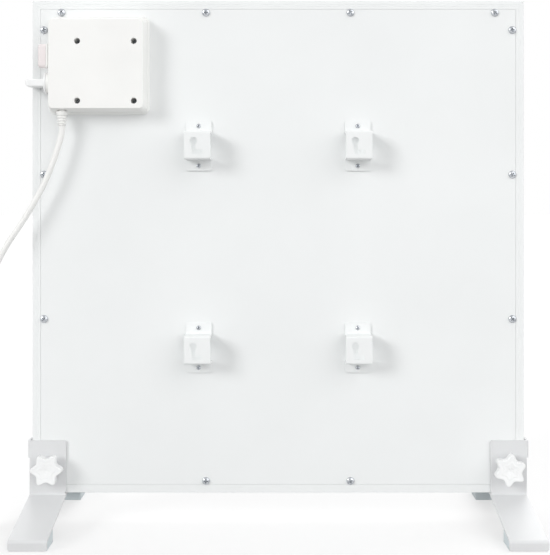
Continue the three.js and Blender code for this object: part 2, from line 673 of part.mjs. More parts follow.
// A clear cap over the rocker: a soft-cornered shell, open on the wall side.
function switchBoot() {
  const ring = (x, inset) => rectangle(
    -SWITCH_BREADTH / 2 + inset, -SWITCH_LENGTH / 2 + inset,
    SWITCH_BREADTH / 2 - inset, SWITCH_LENGTH / 2 - inset, Math.max(BOOT_CORNER - inset, 0.6), 4,
  ).map((p) => new THREE.Vector3(x, p.x, p.y));
  const foot = -SWITCH_BEZEL - GAP;
  const top = foot - BOOT_PROUD;
  const outer = lofted([ring(foot, 0), ring(top + 2.4, 0.5), ring(top + 0.7, 1.2), ring(top, 2.6)]);
  const inner = lofted([
    ring(foot + 1, BOOT_WALL), ring(top + 2.8, BOOT_WALL + 0.4), ring(top + BOOT_WALL, BOOT_WALL + 1.8)]);
  return cut(outer, inner);
}

// A round skirt with a bar across it as the grip, rounded at its outer end.
function thermostatKnob() {
  const skirt = turned([
    [0, 0], [DIAL_DIAMETER / 2, 0], [DIAL_DIAMETER / 2, DIAL_SKIRT - 0.8],
    [DIAL_DIAMETER / 2 - 0.8, DIAL_SKIRT], [0, DIAL_SKIRT]], 32).rotateY(-Math.PI / 2);
  const thick = GRIP_THICKNESS / 2;
  const face = outline([
    [-DIAL_SKIRT / 2, -thick], [-DIAL_PROUD, -thick * 0.94, thick * 0.8],
    [-DIAL_PROUD, thick * 0.94, thick * 0.8], [-DIAL_SKIRT / 2, thick]], 6);
  const bar = prismY(face, -GRIP_BREADTH / 2, GRIP_BREADTH / 2);
  const socket = barY(SPINDLE_DIAMETER + 2 * GAP, -1, SPINDLE_LENGTH + GAP).rotateZ(Math.PI / 2);
  return cut(join(skirt, bar), socket);
}

// The thermostat behind the wall, its spindle reaching out through the wall into the knob.
function thermostatBody() {
  const face = leftWall(BOX_DEPTH) + BOX_WALL + GAP - skirtX;
  const half = THERMOSTAT_SIZE / 2;
  const depth = DIAL_DEPTH - GAP - BOX_WALL - GAP;
  const body = block(face, face + THERMOSTAT_DEPTH, -Math.min(half, BOX_DEPTH - DIAL_DEPTH - BOX_WALL - GAP),
    Math.min(half, depth), -half, half);
  const spindle = barY(SPINDLE_DIAMETER, -face - 1, SPINDLE_LENGTH).rotateZ(Math.PI / 2);
  return join(body, spindle);
}

function terminalBlock() {
  const length = TERMINAL_LENGTH;
  const step = length / TERMINAL_WAYS;
  const body = block(-length / 2, length / 2, -TERMINAL_DEPTH, 0, -TERMINAL_BREADTH / 2, TERMINAL_BREADTH / 2);
  const slots = Array.from({ length: TERMINAL_WAYS - 1 }, (_, i) => block(
    (i + 1) * step - length / 2 - 0.8, (i + 1) * step - length / 2 + 0.8,
    -TERMINAL_DEPTH - 1, -TERMINAL_DEPTH * 0.55, -TERMINAL_BREADTH, TERMINAL_BREADTH));
  const bores = Array.from({ length: TERMINAL_WAYS }, (_, i) => [-1, 1].map((end) => barY(
    3.4, -TERMINAL_DEPTH - 1, -TERMINAL_DEPTH * 0.6, (i + 0.5) * step - length / 2,
    (end * TERMINAL_BREADTH) / 4, 8))).flat();
  return cut(body, ...slots, ...bores);
}

function thermalCutout() {
  const radius = CUTOUT_DIAMETER / 2;
  return turned([
    [0, 0], [radius * 1.1, 0], [radius * 1.1, 1.2], [radius * 0.8, 1.2], [radius * 0.8, CUTOUT_DEPTH - 2],
    [radius, CUTOUT_DEPTH - 2], [radius, CUTOUT_DEPTH], [0, CUTOUT_DEPTH]], 16).rotateX(Math.PI / 2);
}

// A tapered, ribbed sleeve on Z below 0, with its neck and locking flange above it inside the box.
function strainRelief() {
  const neckTop = BOX_WALL + 2 * GAP + 2 * reliefLean;
  const ribs = Array.from({ length: RELIEF_RIBS }, (_, i) => {
    const step = (RELIEF_LENGTH - 3) / RELIEF_RIBS;
    const z = -3 - i * step;
    const radius = (RELIEF_TOP + ((RELIEF_END - RELIEF_TOP) * (i + 0.5)) / RELIEF_RIBS) / 2;
    return [[radius, z], [radius, z - step * 0.55], [radius - 1.3, z - step * 0.6], [radius - 1.3, z - step * 0.95]];
  }).flat();
  return turned([
    [0, -RELIEF_LENGTH], [RELIEF_END / 2 - 0.8, -RELIEF_LENGTH], ...ribs.reverse(),
    [RELIEF_TOP / 2, -3], [RELIEF_TOP / 2, -1.2], [RELIEF_TOP / 2 - 1, 0],
    [RELIEF_NECK / 2, 0], [RELIEF_NECK / 2, neckTop], [RELIEF_TOP / 2, neckTop],
    [RELIEF_TOP / 2, neckTop + RELIEF_FLANGE], [RELIEF_NECK / 2, neckTop + RELIEF_FLANGE],
    [RELIEF_NECK / 2, neckTop + RELIEF_FLANGE + RELIEF_INSIDE],
    [0, neckTop + RELIEF_FLANGE + RELIEF_INSIDE]], 12);
}

function controlBox() {
  const group = new THREE.Group();
  group.add(named('box_base', boxBase(), boxPlastic));
  group.add(named('box_cover', boxCover(), boxPlastic));
  const headY = plateBack - wellFloor - BOX_WALL - GAP;
  const body = screw(screwBody(
    BOX_SCREW_HEAD, BOX_SCREW_HEAD_HEIGHT, BOX_SCREW_SHANK, plateFront - headY + BOX_SCREW_REACH, 8));
  wells.forEach(({ x, z }, i) => group.add(named(`box_screw_${i + 1}`, body, zinc, [x, headY, z])));
  group.add(named('switch_housing', switchHousing(), switchPlastic, [bezelX, switchY, switchZ]));
  group.add(named('switch_rocker', rocker(), rockerRed, [bezelX, switchY, switchZ]));
  group.add(named('switch_boot', switchBoot(), clearSilicone, [bezelX, switchY, switchZ]));
  group.add(named('thermostat_body', thermostatBody(), nylon, [skirtX, dialY, dialZ]));
  group.add(named('thermostat_knob', thermostatKnob(), knobPlastic, [skirtX, dialY, dialZ]));
  const onBase = plateBack - 2 * GAP - BOX_WALL;
  const beside = { x: boxFoot.left + BOX_WIDTH / 2, z: boxFoot.bottom + BOX_HEIGHT / 2 };
  group.add(named('terminal_block', terminalBlock(), nylon,
    [beside.x, onBase, beside.z - WIRE_HOLE_DIAMETER / 2 - TERMINAL_BREADTH]));
  group.add(named('thermal_cutout', thermalCutout(), nylon,
    [beside.x, onBase, beside.z + WIRE_HOLE_DIAMETER / 2 + CUTOUT_DIAMETER]));
  group.add(named('strain_relief', strainRelief(), leadPvc, [reliefX, reliefY, reliefZ]));
  return group;
}

// ---------------------------------------------------------------- mains lead

// Route of the free lead, from under the strain relief to the coil's first turn.
const leadStart = { x: reliefX, y: reliefY, z: PANEL_LIFT + halfHeight + reliefZ - RELIEF_LENGTH - GAP };
const leadRoute = [
  [leadStart.x, leadStart.y, leadStart.z], [leadStart.x, leadStart.y, leadStart.z - LEAD_DIAMETER],
  [-263.9, -28.2, 463], [-268.6, -28.4, 447.5], [-275, -28.7, 430], [-282.9, -29, 411.5],
  [-292.4, -29.3, 393.5], [-303.2, -29.6, 375], [-315.3, -30, 356.5], [-328.3, -30.2, 336.5],
  [-339.6, -30, 314], [-346.8, -28.4, 289], [-350.6, -26.2, 260], [-352.2, -24, 228], [-352.7, -22, 192],
  [-352.8, -20.6, 156], [-352.8, -20, 120], [-352.8, -20, 86], [-352.8, -20.6, 58], [-352.8, -24.4, 38.4],
  [-352.8, -34.4, 22.9], [-352.8, -49, 13.9], [-352.8, -65.4, 11.8], [-352.8, -73, 11.8],
].map((point) => new THREE.Vector3(...point));

const coilLow = LEAD_DIAMETER / 2 + GAP;
const coilEntry = leadRoute.at(-1).clone().add(new THREE.Vector3(0, -GAP, 0));
const coilCentre = new THREE.Vector3(coilEntry.x - COIL_RADIUS, coilEntry.y, 0);

function freeLead() {
  const ring = Array.from({ length: LEAD_SIDES }, (_, i) => new THREE.Vector2(LEAD_DIAMETER / 2, 0)
    .rotateAround(new THREE.Vector2(), (2 * Math.PI * i) / LEAD_SIDES));
  const path = new THREE.CatmullRomCurve3(leadRoute, false, 'centripetal');
  return new THREE.ExtrudeGeometry(new THREE.Shape(ring), { steps: LEAD_STEPS, extrudePath: path });
}

// The coil winds inwards on its upper layer, drops a layer in the half turn where it reverses, winds out
// again on the floor, and leaves in a short straight tail that rises to the plug's sleeve.
function coilLine() {
  const total = COIL_TURNS * COIL_STEPS;
  const inner = COIL_RADIUS - (COIL_PITCH * COIL_TURNS) / 2;
  const line = Array.from({ length: total + 1 }, (_, i) => {
    const turns = i / COIL_STEPS;
    const fromMiddle = turns - COIL_TURNS / 2;
    const radius = inner + COIL_PITCH * Math.abs(fromMiddle);
    const drop = THREE.MathUtils.clamp(fromMiddle + 0.5, 0, 1);
    const layer = coilEntry.z + (coilLow - coilEntry.z) * THREE.MathUtils.smoothstep(drop, 0.25, 0.75);
    const angle = -2 * Math.PI * turns;
    return new THREE.Vector3(radius * Math.cos(angle), radius * Math.sin(angle), layer).add(coilCentre);
  });
  const last = line.at(-1);
  const rise = PLUG_AXIS_HEIGHT - last.z;
  const tail = [0.3, 0.55, 0.78, 1].map((share) => new THREE.Vector3(
    last.x, last.y + TAIL_LENGTH * share, last.z + rise * THREE.MathUtils.smoothstep(share, 0.1, 0.78)));
  line[0].y = coilEntry.y;
  return [...line, ...tail];
}

function woundTube(line) {
  const up = new THREE.Vector3(0, 0, 1);
  return lofted(line.map((point, i) => {
    const ahead = (line[i + 1] ?? point).clone().sub(line[i - 1] ?? point).normalize();
    if (i === 0) ahead.set(0, -1, 0);
    if (i >= line.length - 2) ahead.set(0, 1, 0);
    const side = ahead.clone().cross(up).normalize();
    const over = side.clone().cross(ahead);
    return Array.from({ length: COIL_SIDES }, (_, k) => {
      const angle = (2 * Math.PI * (k + 0.5)) / COIL_SIDES;
      return point.clone()
        .addScaledVector(side, (LEAD_DIAMETER / 2) * Math.cos(angle))
        .addScaledVector(over, (LEAD_DIAMETER / 2) * Math.sin(angle));
    });
  }));
}

// The least gap between turns, measured on points that lie over half a turn apart along the lead.
function leastSelfGap(line) {
  const apart = COIL_STEPS / 2;
  let least = Infinity;
  line.forEach((p, i) => line.slice(i + apart).forEach((q) => {
    least = Math.min(least, p.distanceTo(q) - LEAD_DIAMETER);
  }));
  return least;
}

// An earthed plug on its back: a round body, a sleeve that the lead enters and two pins that point up.
function mainsPlug() {
  const body = turned([
    [0, 0], [PLUG_DIAMETER / 2 - 2, 0], [PLUG_DIAMETER / 2, 2], [PLUG_DIAMETER / 2, PLUG_HEIGHT - 4],
    [PLUG_DIAMETER / 2 - 1.5, PLUG_HEIGHT], [0, PLUG_HEIGHT]], 24);
  const sleeveEnd = LEAD_DIAMETER / 2 + 1.2;
  const sleeve = turned([
    [0, 0], [sleeveEnd, 0], [sleeveEnd + 1.2, PLUG_SLEEVE], [sleeveEnd + 1.2, PLUG_SLEEVE + PLUG_DIAMETER / 2],
    [0, PLUG_SLEEVE + PLUG_DIAMETER / 2]], 12)
    .rotateX(-Math.PI / 2).translate(0, -PLUG_SLEEVE - PLUG_DIAMETER / 2, PLUG_AXIS_HEIGHT - GAP);
  const pins = [-1, 1].map((side) => turned([
    [0, PLUG_HEIGHT - 1], [PIN_DIAMETER / 2, PLUG_HEIGHT - 1], [PIN_DIAMETER / 2, PLUG_HEIGHT + PIN_LENGTH - 1.2],
    [PIN_DIAMETER / 2 - 1, PLUG_HEIGHT + PIN_LENGTH], [0, PLUG_HEIGHT + PIN_LENGTH]], 10)
    .translate((side * PIN_SPACING) / 2, 0, 0));
  return join(body, sleeve, ...pins);
}

function mainsLead() {
  const group = new THREE.Group();
  const line = coilLine();
  const end = line.at(-1);
  const length = (points) => points.slice(1).reduce((sum, p, i) => sum + p.distanceTo(points[i]), 0);
  console.log(`lead coil: least gap to itself ${leastSelfGap(line).toFixed(2)} mm`);
  console.log(`lead: ${(length(leadRoute) + length(line)).toFixed(0)} mm from the strain relief to the plug`);
  group.add(named('mains_lead', freeLead(), leadPvc));
  group.add(named('lead_coil', woundTube(line), leadPvc));
  group.add(named('mains_plug', mainsPlug(), knobPlastic,
    [end.x, end.y + GAP + PLUG_SLEEVE + PLUG_DIAMETER / 2, GAP]));
  return group;
}

// ---------------------------------------------------------------- stands

const standBack = frameBack - GAP - STAND_SHEET; // the upright's outer face
const panelFoot = PANEL_LIFT - GAP; // top of the strip under the panel
const tipY = STAND_DEPTH / 2;
const legSlope = (PANEL_LIFT - STAND_FALL - STAND_TIP_HEIGHT) / (tipY - frameFront);
const legTop = (y) => PANEL_LIFT - STAND_FALL - legSlope * (Math.abs(y) - frameFront);
const legUnder = (y) => legTop(y) - STAND_SHEET * Math.hypot(1, legSlope);
const standOuter = halfWidth + STAND_SIDE_GAP; // the strip's outer edge, from the middle of the heater
const standInner = standOuter - STAND_WIDTH;

// Side view of the strip: leg, folded tip, seat under the panel and the upright against its back.
function standProfile() {
  const sheet = STAND_SHEET;
  const inside = tipY - sheet;
  const bend = legTop(frameFront) < panelFoot ? (panelFoot - legTop(frameFront)) / legSlope : 0;
  return outline([
    [-tipY, STAND_TIP_LIFT], [-tipY, legTop(tipY), 4], [standBack, legTop(standBack), 2],
    [standBack, PANEL_LIFT + STAND_RISE, 1], [standBack + sheet, PANEL_LIFT + STAND_RISE, 1],
    [standBack + sheet, panelFoot], [frameFront - bend, panelFoot, 3], [tipY, legTop(tipY), 4],
    [tipY, STAND_TIP_LIFT], [inside, STAND_TIP_LIFT], [inside, legUnder(inside), 1.7],
    [frameFront, legUnder(frameFront)], [-frameFront, legUnder(frameFront)],
    [-inside, legUnder(inside), 1.7], [-inside, STAND_TIP_LIFT],
  ], 4);
}

// The right-hand stand; the left one is its mirror image.
function stand() {
  const strip = prismX(standProfile(), standInner, standOuter);
  const top = PANEL_LIFT + STAND_RISE;
  const round = STAND_SHEET + 0.4;
  const earPlan = outline([
    [standOuter - 1, standBack], [standOuter + STAND_SHEET, standBack, round],
    [standOuter + STAND_SHEET, frameBack + EAR_REACH, 1], [standOuter, frameBack + EAR_REACH],
    [standOuter, standBack + STAND_SHEET], [standOuter - 1, standBack + STAND_SHEET],
  ], 4);
  const ear = extruded(earPlan, EAR_HEIGHT).translate(0, 0, top - EAR_HEIGHT);
  const notch = barY(RELIEF_NOTCH, standBack - 1, standBack + STAND_SHEET + 1, standInner, PANEL_LIFT, 12);
  const hole = barY(
    STUD_DIAMETER + 2 * STUD_CLEARANCE, standBack - 1, standBack + STAND_SHEET + 1,
    knobX, PANEL_LIFT + KNOB_RISE, 16);
  return cut(join(strip, ear), notch, hole);
}

// A moulded block that fills the corner between the leg, its folded tip and the floor.
function footBlock() {
  const outer = tipY - STAND_SHEET - GAP;
  const inner = outer - FOOT_LENGTH;
  const side = outline([
    [inner, 0], [outer, 0], [outer, legUnder(outer) - GAP, 1.6], [inner, legUnder(inner) - GAP]], 3);
  return prismX(side, standInner + GAP, standOuter - GAP);
}

function mirroredX(geometry) {
  return closed(geometry.clone().scale(-1, 1, 1));
}

function mirroredY(geometry) {
  return closed(geometry.clone().scale(1, -1, 1));
}

function stands() {
  const group = new THREE.Group();
  const right = stand();
  const front = footBlock();
  const rear = mirroredY(front);
  group.add(named('stand_right', right, standCoat));
  group.add(named('stand_left', mirroredX(right), standCoat));
  group.add(named('foot_right_front', front, footPlastic));
  group.add(named('foot_right_rear', rear, footPlastic));
  group.add(named('foot_left_front', mirroredX(front), footPlastic));
  group.add(named('foot_left_rear', mirroredX(rear), footPlastic));
  return group;
}

// ---------------------------------------------------------------- star knobs

// A lobed head over a round neck, with the stud moulded in; its seat is at z = 0 and the stud below.
function starKnob(turn) {
  const count = KNOB_LOBES * 7;
  const rim = Array.from({ length: count }, (_, i) => {
    const angle = (2 * Math.PI * i) / count;
    const wave = Math.cos(KNOB_LOBES * (angle - turn));
    const radius = KNOB_RADIUS - KNOB_EDGE + KNOB_LOBE * (wave + 0.3 * wave * wave);
    return new THREE.Vector2(radius * Math.cos(angle), radius * Math.sin(angle));
  });
  const head = new THREE.ExtrudeGeometry(new THREE.Shape(rim), {
    depth: KNOB_HEAD - 2 * KNOB_EDGE, bevelThickness: KNOB_EDGE, bevelSize: KNOB_EDGE, bevelSegments: 2,
  }).translate(0, 0, KNOB_NECK + KNOB_EDGE);
  const stud = studLength();
  const neck = turned([
    [0, -stud], [STUD_DIAMETER / 2 - 1, -stud], [STUD_DIAMETER / 2, -stud + 1], [STUD_DIAMETER / 2, 0],
    [KNOB_NECK_DIAMETER / 2 - 1, 0], [KNOB_NECK_DIAMETER / 2, 1], [KNOB_NECK_DIAMETER / 2, KNOB_NECK + 1],
    [0, KNOB_NECK + 1]], 16);
  return join(head, neck).rotateX(Math.PI / 2);
}

const washerBack = standBack - GAP;
const knobSeat = washerBack - WASHER_THICKNESS - GAP;

function studLength() {
  return frameBack + STUD_REACH - knobSeat;
}

function washer() {
  const bore = STUD_DIAMETER / 2 + STUD_CLEARANCE;
  const outer = WASHER_DIAMETER / 2;
  return turned([
    [bore, 0], [outer, 0], [outer, WASHER_THICKNESS], [bore, WASHER_THICKNESS], [bore, 0]], 24)
    .rotateX(Math.PI / 2);
}

function starKnobs() {
  const group = new THREE.Group();
  const height = PANEL_LIFT + KNOB_RISE;
  [['left', -1, Math.PI], ['right', 1, 0.384]].forEach(([side, across, turn]) => {
    const x = across * knobX;
    group.add(named(`knob_washer_${side}`, washer(), zinc, [x, washerBack, height]));
    group.add(named(`star_knob_${side}`, starKnob(turn), knobPlastic, [x, knobSeat, height]));
  });
  return group;
}

// ---------------------------------------------------------------- assembly

const heater = new THREE.Group();
const raised = new THREE.Group();
raised.position.z = PANEL_LIFT + halfHeight;
raised.add(panel(), wallBrackets(), controlBox());
heater.add(raised, mainsLead(), stands(), starKnobs());
heater.updateMatrixWorld(true);

export default heater;
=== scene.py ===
"""A 600 mm infrared panel heater on two bent-steel stands, seen from behind, where its controls are.
Shapes are worked out in millimetres and become metres when a mesh is made. The radiant face is towards +Y."""
import math

import bmesh
import bpy
import numpy as np
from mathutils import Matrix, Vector, geometry


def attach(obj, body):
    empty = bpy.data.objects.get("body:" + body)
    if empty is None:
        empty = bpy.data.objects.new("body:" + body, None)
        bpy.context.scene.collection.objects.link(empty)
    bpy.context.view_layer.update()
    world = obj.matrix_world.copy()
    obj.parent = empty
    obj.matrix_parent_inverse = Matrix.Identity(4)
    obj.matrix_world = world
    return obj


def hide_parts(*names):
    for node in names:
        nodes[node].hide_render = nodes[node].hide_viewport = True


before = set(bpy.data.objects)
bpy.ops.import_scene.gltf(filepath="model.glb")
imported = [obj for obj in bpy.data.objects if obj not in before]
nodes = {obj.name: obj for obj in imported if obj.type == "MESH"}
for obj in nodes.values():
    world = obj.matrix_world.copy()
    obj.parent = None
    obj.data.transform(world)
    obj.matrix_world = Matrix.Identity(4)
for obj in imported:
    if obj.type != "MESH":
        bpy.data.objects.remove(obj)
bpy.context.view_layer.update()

# ---------------------------------------------------------------- camera
# The photograph was taken square on to the panel's back, from 1.5 m and a little above its middle.
# The picture is cut lower and a touch further left than the lens looks, so the shift carries that.
camera = bpy.data.objects.new("camera", bpy.data.cameras.new("camera"))
bpy.context.scene.collection.objects.link(camera)
bpy.context.scene.camera = camera
camera.data.sensor_width = 36
camera.data.lens = 79.17
camera.data.shift_x, camera.data.shift_y = -0.0058, -0.1389
camera.location = (0, -1.501, 0.3926)
camera.rotation_euler = (math.pi / 2, 0, 0)
bpy.context.scene.view_settings.view_transform = "Standard"

# ---------------------------------------------------------------- mains lead
# A round lead in soft white PVC, 7.2 mm thick and 1.8 m long. It hangs from the strain relief, drifts
# past the panel's left edge to the floor, and the spare length lies there in a flat two-layer coil.
lead_thickness = 7.2
lead_length = 1800
hanging = np.array([
    (-261.0, -28.1, 483.15), (-261.0, -28.1, 475.95), (-263.9, -28.2, 463), (-268.6, -28.4, 447.5),
    (-275, -28.7, 430), (-282.9, -29, 411.5), (-292.4, -29.3, 393.5), (-303.2, -29.6, 375),
    (-315.3, -30, 356.5), (-328.3, -30.2, 336.5), (-339.6, -30, 314), (-346.8, -28.4, 289),
    (-350.6, -26.2, 260), (-352.2, -24, 228), (-352.7, -22, 192), (-352.8, -20.6, 156),
    (-352.8, -20, 120), (-352.8, -20, 86), (-352.8, -20.6, 58), (-352.8, -24.4, 38.4),
    (-352.8, -34.4, 22.9), (-352.8, -49, 13.9), (-352.8, -65.4, 11.8), (-352.8, -73, 11.8)])


def smooth_line(knots, spacing):
    """A line through the knots. Each span is the cubic that has the knots' own slopes at its ends, with
    the square root of the chord as its parameter, and the line is divided again at equal lengths."""
    t = np.concatenate([[0], np.cumsum(np.sqrt(np.linalg.norm(np.diff(knots, axis=0), axis=1)))])
    slope = np.gradient(knots, t, axis=0)
    fine = np.linspace(0, t[-1], 30 * len(knots))
    i = np.clip(np.searchsorted(t, fine, side="right") - 1, 0, len(t) - 2)
    h = (t[i + 1] - t[i])[:, None]
    u = (fine - t[i])[:, None] / h
    line = ((1 + 2 * u) * (1 - u) ** 2 * knots[i] + u * (1 - u) ** 2 * h * slope[i]
            + u * u * (3 - 2 * u) * knots[i + 1] + u * u * (u - 1) * h * slope[i + 1])
    run = np.concatenate([[0], np.cumsum(np.linalg.norm(np.diff(line, axis=0), axis=1))])
    even = np.linspace(0, run[-1], round(run[-1] / spacing))
    return np.stack([np.interp(even, run, line[:, k]) for k in range(3)], axis=1)


def coil_line(entry, turns, radius, pitch, low, tail, rise):
    """A spiral that closes in at a steady rate on the upper layer, drops a layer in the half turn where
    it reverses, and opens out again on the lower one, then runs straight on and rises to the plug."""
    turn = np.arange(1, round(turns * 24) + 1) / 24
    middle = turn - turns / 2
    reach = radius - pitch * turns / 2 + pitch * np.abs(middle)
    drop = np.clip((np.clip(middle + 0.5, 0, 1) - 0.25) / 0.5, 0, 1)
    height = entry[2] + (low - entry[2]) * drop ** 2 * (3 - 2 * drop)
    angle = -2 * math.pi * turn
    wound = np.stack([entry[0] - radius + reach * np.cos(angle), entry[1] + reach * np.sin(angle), height], 1)
    share = np.array([0.3, 0.55, 0.78, 1])
    lift = np.clip((share - 0.1) / 0.68, 0, 1)
    end = wound[-1] + np.stack([0 * share, tail * share, rise * lift ** 2 * (3 - 2 * lift)], 1)
    return np.concatenate([wound, end])


def grid_faces(rows, columns):
    """Four-sided faces between the rows of a grid of points, whose last column meets its first."""
    r, c = np.meshgrid(np.arange(rows - 1), np.arange(columns), indexing="ij")
    a, b = r * columns + c, r * columns + (c + 1) % columns
    return np.stack([a, b, b + columns, a + columns], axis=-1).reshape(-1, 4).tolist()


def lofted(rings, closed=True):
    """Rings of equally many points, joined in their order, with a face over each end where closed."""
    rings = np.asarray(rings, float)
    rows, columns = rings.shape[:2]
    last = (rows - 1) * columns
    ends = [list(range(columns)), list(range(last, last + columns))] if closed else []
    return rings.reshape(-1, 3), grid_faces(rows, columns) + ends


def tube(line, radius, sides, facing):
    """A circle of the given radius, square to the line at each point and turned by the facing
    direction there, carried along the line and closed at both ends."""
    ahead = np.gradient(line, axis=0)
    ahead /= np.linalg.norm(ahead, axis=1, keepdims=True)
    side = np.cross(ahead, facing)
    side /= np.linalg.norm(side, axis=1, keepdims=True)
    over = np.cross(side, ahead)
    a = 2 * math.pi * np.arange(sides)[None, :, None] / sides
    return lofted(line[:, None] + radius * (np.cos(a) * side[:, None] + np.sin(a) * over[:, None]))


def make_piece(name, body, shape, material, sharp=30, edge=0.0):
    """Puts worked-out points and faces into a mesh, merges its seams and poles and turns its faces out.
    Edges over the sharp angle stay crisp, or are rounded off where an edge width is given."""
    points, faces = shape
    mesh = bpy.data.meshes.new(name)
    mesh.from_pydata((np.asarray(points, float).reshape(-1, 3) * 0.001).tolist(), [], list(faces))
    work = bmesh.new()
    work.from_mesh(mesh)
    bmesh.ops.remove_doubles(work, verts=work.verts, dist=2e-6)
    bmesh.ops.recalc_face_normals(work, faces=work.faces)
    work.to_mesh(mesh)
    work.free()
    mesh.shade_smooth()
    mesh.materials.append(material)
    piece = bpy.data.objects.new(name, mesh)
    bpy.context.scene.collection.objects.link(piece)
    if edge:
        round_off = piece.modifiers.new("edge", "BEVEL")
        round_off.width, round_off.segments, round_off.limit_method = edge * 0.001, 2, "ANGLE"
        round_off.angle_limit = math.radians(sharp)
    else:
        mesh.set_sharp_from_angle(angle=math.radians(sharp))
    piece.modifiers.new("shading", "WEIGHTED_NORMAL").keep_sharp = True
    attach(piece, body)
    return piece


def to_linear(code):
    """A colour written as six hex digits, in the linear numbers that a shader takes."""
    value = np.array([int(code[i:i + 2], 16) for i in (0, 2, 4)]) / 255
    return (*np.where(value <= 0.04045, value / 12.92, ((value + 0.055) / 1.055) ** 2.4).tolist(), 1.0)


def add_node(tree, kind, settings=None, **sockets):
    """Adds a shader node. A socket's name has _ for a space; it takes a value or another node's output."""
    node = tree.nodes.new("ShaderNode" + kind)
    for name, value in (settings or {}).items():
        setattr(node, name, value)
    for name, value in sockets.items():
        socket = node.inputs[name.replace("_", " ")]
        if isinstance(value, bpy.types.NodeSocket):
            tree.links.new(value, socket)
        else:
            socket.default_value = value
    return node


def finished_surface(name, light, dark, drift, gloss, grain, metallic=0.0):
    """A material for a formed surface, read at the point on the object. Its colour drifts between two
    near tones in patches of one size (drift, in mm), its roughness wanders between two values over
    the same kind of patch, and its relief is a grain of a size and a height (both in mm)."""
    material = bpy.data.materials.new(name)
    material.use_nodes = True
    tree = material.node_tree
    shader = tree.nodes["Principled BSDF"]
    place = add_node(tree, "TexCoord").outputs["Object"]
    cloud = add_node(tree, "TexNoise", Vector=place, Scale=1000 / drift, Detail=3.0)
    tone = add_node(tree, "ValToRGB", Fac=cloud.outputs["Fac"])
    for end, at, colour in zip(tone.color_ramp.elements, (0.3, 0.7), (dark, light)):
        end.position, end.color = at, to_linear(colour)
    handled = add_node(tree, "TexNoise", Vector=place, Scale=2700 / drift, Detail=2.0)
    spread = add_node(tree, "MapRange", Value=handled.outputs["Fac"], To_Min=gloss[0], To_Max=gloss[1])
    bumps = add_node(tree, "TexNoise", Vector=place, Scale=1000 / grain[0], Detail=2.0, Roughness=0.6)
    relief = add_node(tree, "Bump", Height=bumps.outputs["Fac"], Strength=1.0, Distance=grain[1] * 0.001)
    tree.links.new(tone.outputs["Color"], shader.inputs["Base Color"])
    tree.links.new(spread.outputs["Result"], shader.inputs["Roughness"])
    tree.links.new(relief.outputs["Normal"], shader.inputs["Normal"])
    shader.inputs["Metallic"].default_value = metallic
    return material


# Extruded plasticised PVC: a soft sheen, faintly uneven along its length.
lead_pvc = finished_surface("extruded_pvc", "F4F4F2", "EEEEEC", 30, (0.36, 0.5), (2.4, 0.03))

wound = coil_line(hanging[-1] - (0, 0.3, 0), 4.5, 51.7, 7.75, 3.9, 60, 2.5)
lead_line = smooth_line(np.concatenate([hanging, wound]), 2.6)
landed = np.clip(np.linspace(0, lead_length, len(lead_line)) / 560 - 0.5, 0, 1)[:, None]
facing = (1 - landed) * (1.0, 0, 0) + landed * (0, 0, 1.0)
mains_lead = make_piece("lead", "heater", tube(lead_line, lead_thickness / 2, 20, facing), lead_pvc)
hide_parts("mains_lead", "lead_coil")

# ---------------------------------------------------------------- mains plug
# A straight earthed plug in hard white plastic, lying on its back: a round body, the ribbed sleeve
# that the lead enters, a rim round its face and two plated pins that point up.
plug_radius = 19
plug_x, plug_y, plug_z = -456.2, 30.0, 0.3


def turned(profile, sides, centre, axis, closed=True):
    """A profile of (radius, height) pairs turned about an axis through the centre. Heights run along
    +Z, +Y, or -Y for an axis out of the panel's back, or -X for one out of the box's side."""
    profile = np.asarray(profile, float)
    a = 2 * math.pi * np.arange(sides) / sides
    u, v = profile[:, :1] * np.cos(a), profile[:, :1] * np.sin(a)
    h = np.broadcast_to(profile[:, 1:], u.shape)
    places = {"z": (u, v, h), "y": (u, h, v), "-y": (u, -h, v), "-x": (-h, u, v)}[axis]
    return lofted(np.stack(places, axis=-1) + np.asarray(centre, float), closed)


def together(*shapes):
    """Several shapes as one."""
    points, faces, count = [], [], 0
    for some_points, some_faces in shapes:
        points.append(some_points)
        faces += [[i + count for i in face] for face in some_faces]
        count += len(some_points)
    return np.concatenate(points), faces


# Hard glossy plastic from a polished tool, with the faint drift in tone of a thick moulding.
gloss_white = finished_surface("polished_moulding", "F7F8F8", "F2F3F3", 45, (0.26, 0.4), (1.1, 0.008))
# Zinc plate on steel, clear passivated: bright, a little blue, with a fine tooth.
zinc = finished_surface("zinc_plate", "CDD0D4", "A2A6AB", 4, (0.1, 0.24), (0.7, 0.006), 1.0)

round_body = turned([(0, 0), (16.8, 0), (18.4, 0.6), (19, 2.2), (19, 9), (18.7, 17), (18.4, 20.6), (17.8, 22.3),
                     (16.8, 23), (15.6, 23), (15.3, 22.2), (0, 22.2)], 64, (plug_x, plug_y, plug_z), "z")
sleeve_rise = np.arange(0.6, 23, 0.4)
sleeve_wall = 4.9 + 0.045 * sleeve_rise - 0.35 * (1 - np.cos(2 * math.pi * sleeve_rise / 3.2))
sleeve = turned([(0, 0), (4.3, 0), *np.stack([sleeve_wall, sleeve_rise], 1), (6.0, 24), (6.1, 34), (0, 34)], 32,
                (plug_x, plug_y - plug_radius - 24, plug_z + 6.1), "y")
plug = make_piece("plug_moulding", "heater", together(round_body, sleeve), gloss_white)
pin = [(0, 22), (2.4, 22), (2.4, 40.2), (2.2, 41.1), (1.6, 41.7), (0.9, 42), (0, 42)]
pins = [turned(pin, 28, (plug_x + side * 9.5, plug_y, plug_z), "z") for side in (-1, 1)]
plug_pins = make_piece("plug_pins", "heater", together(*pins), zinc)
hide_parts("mains_plug")

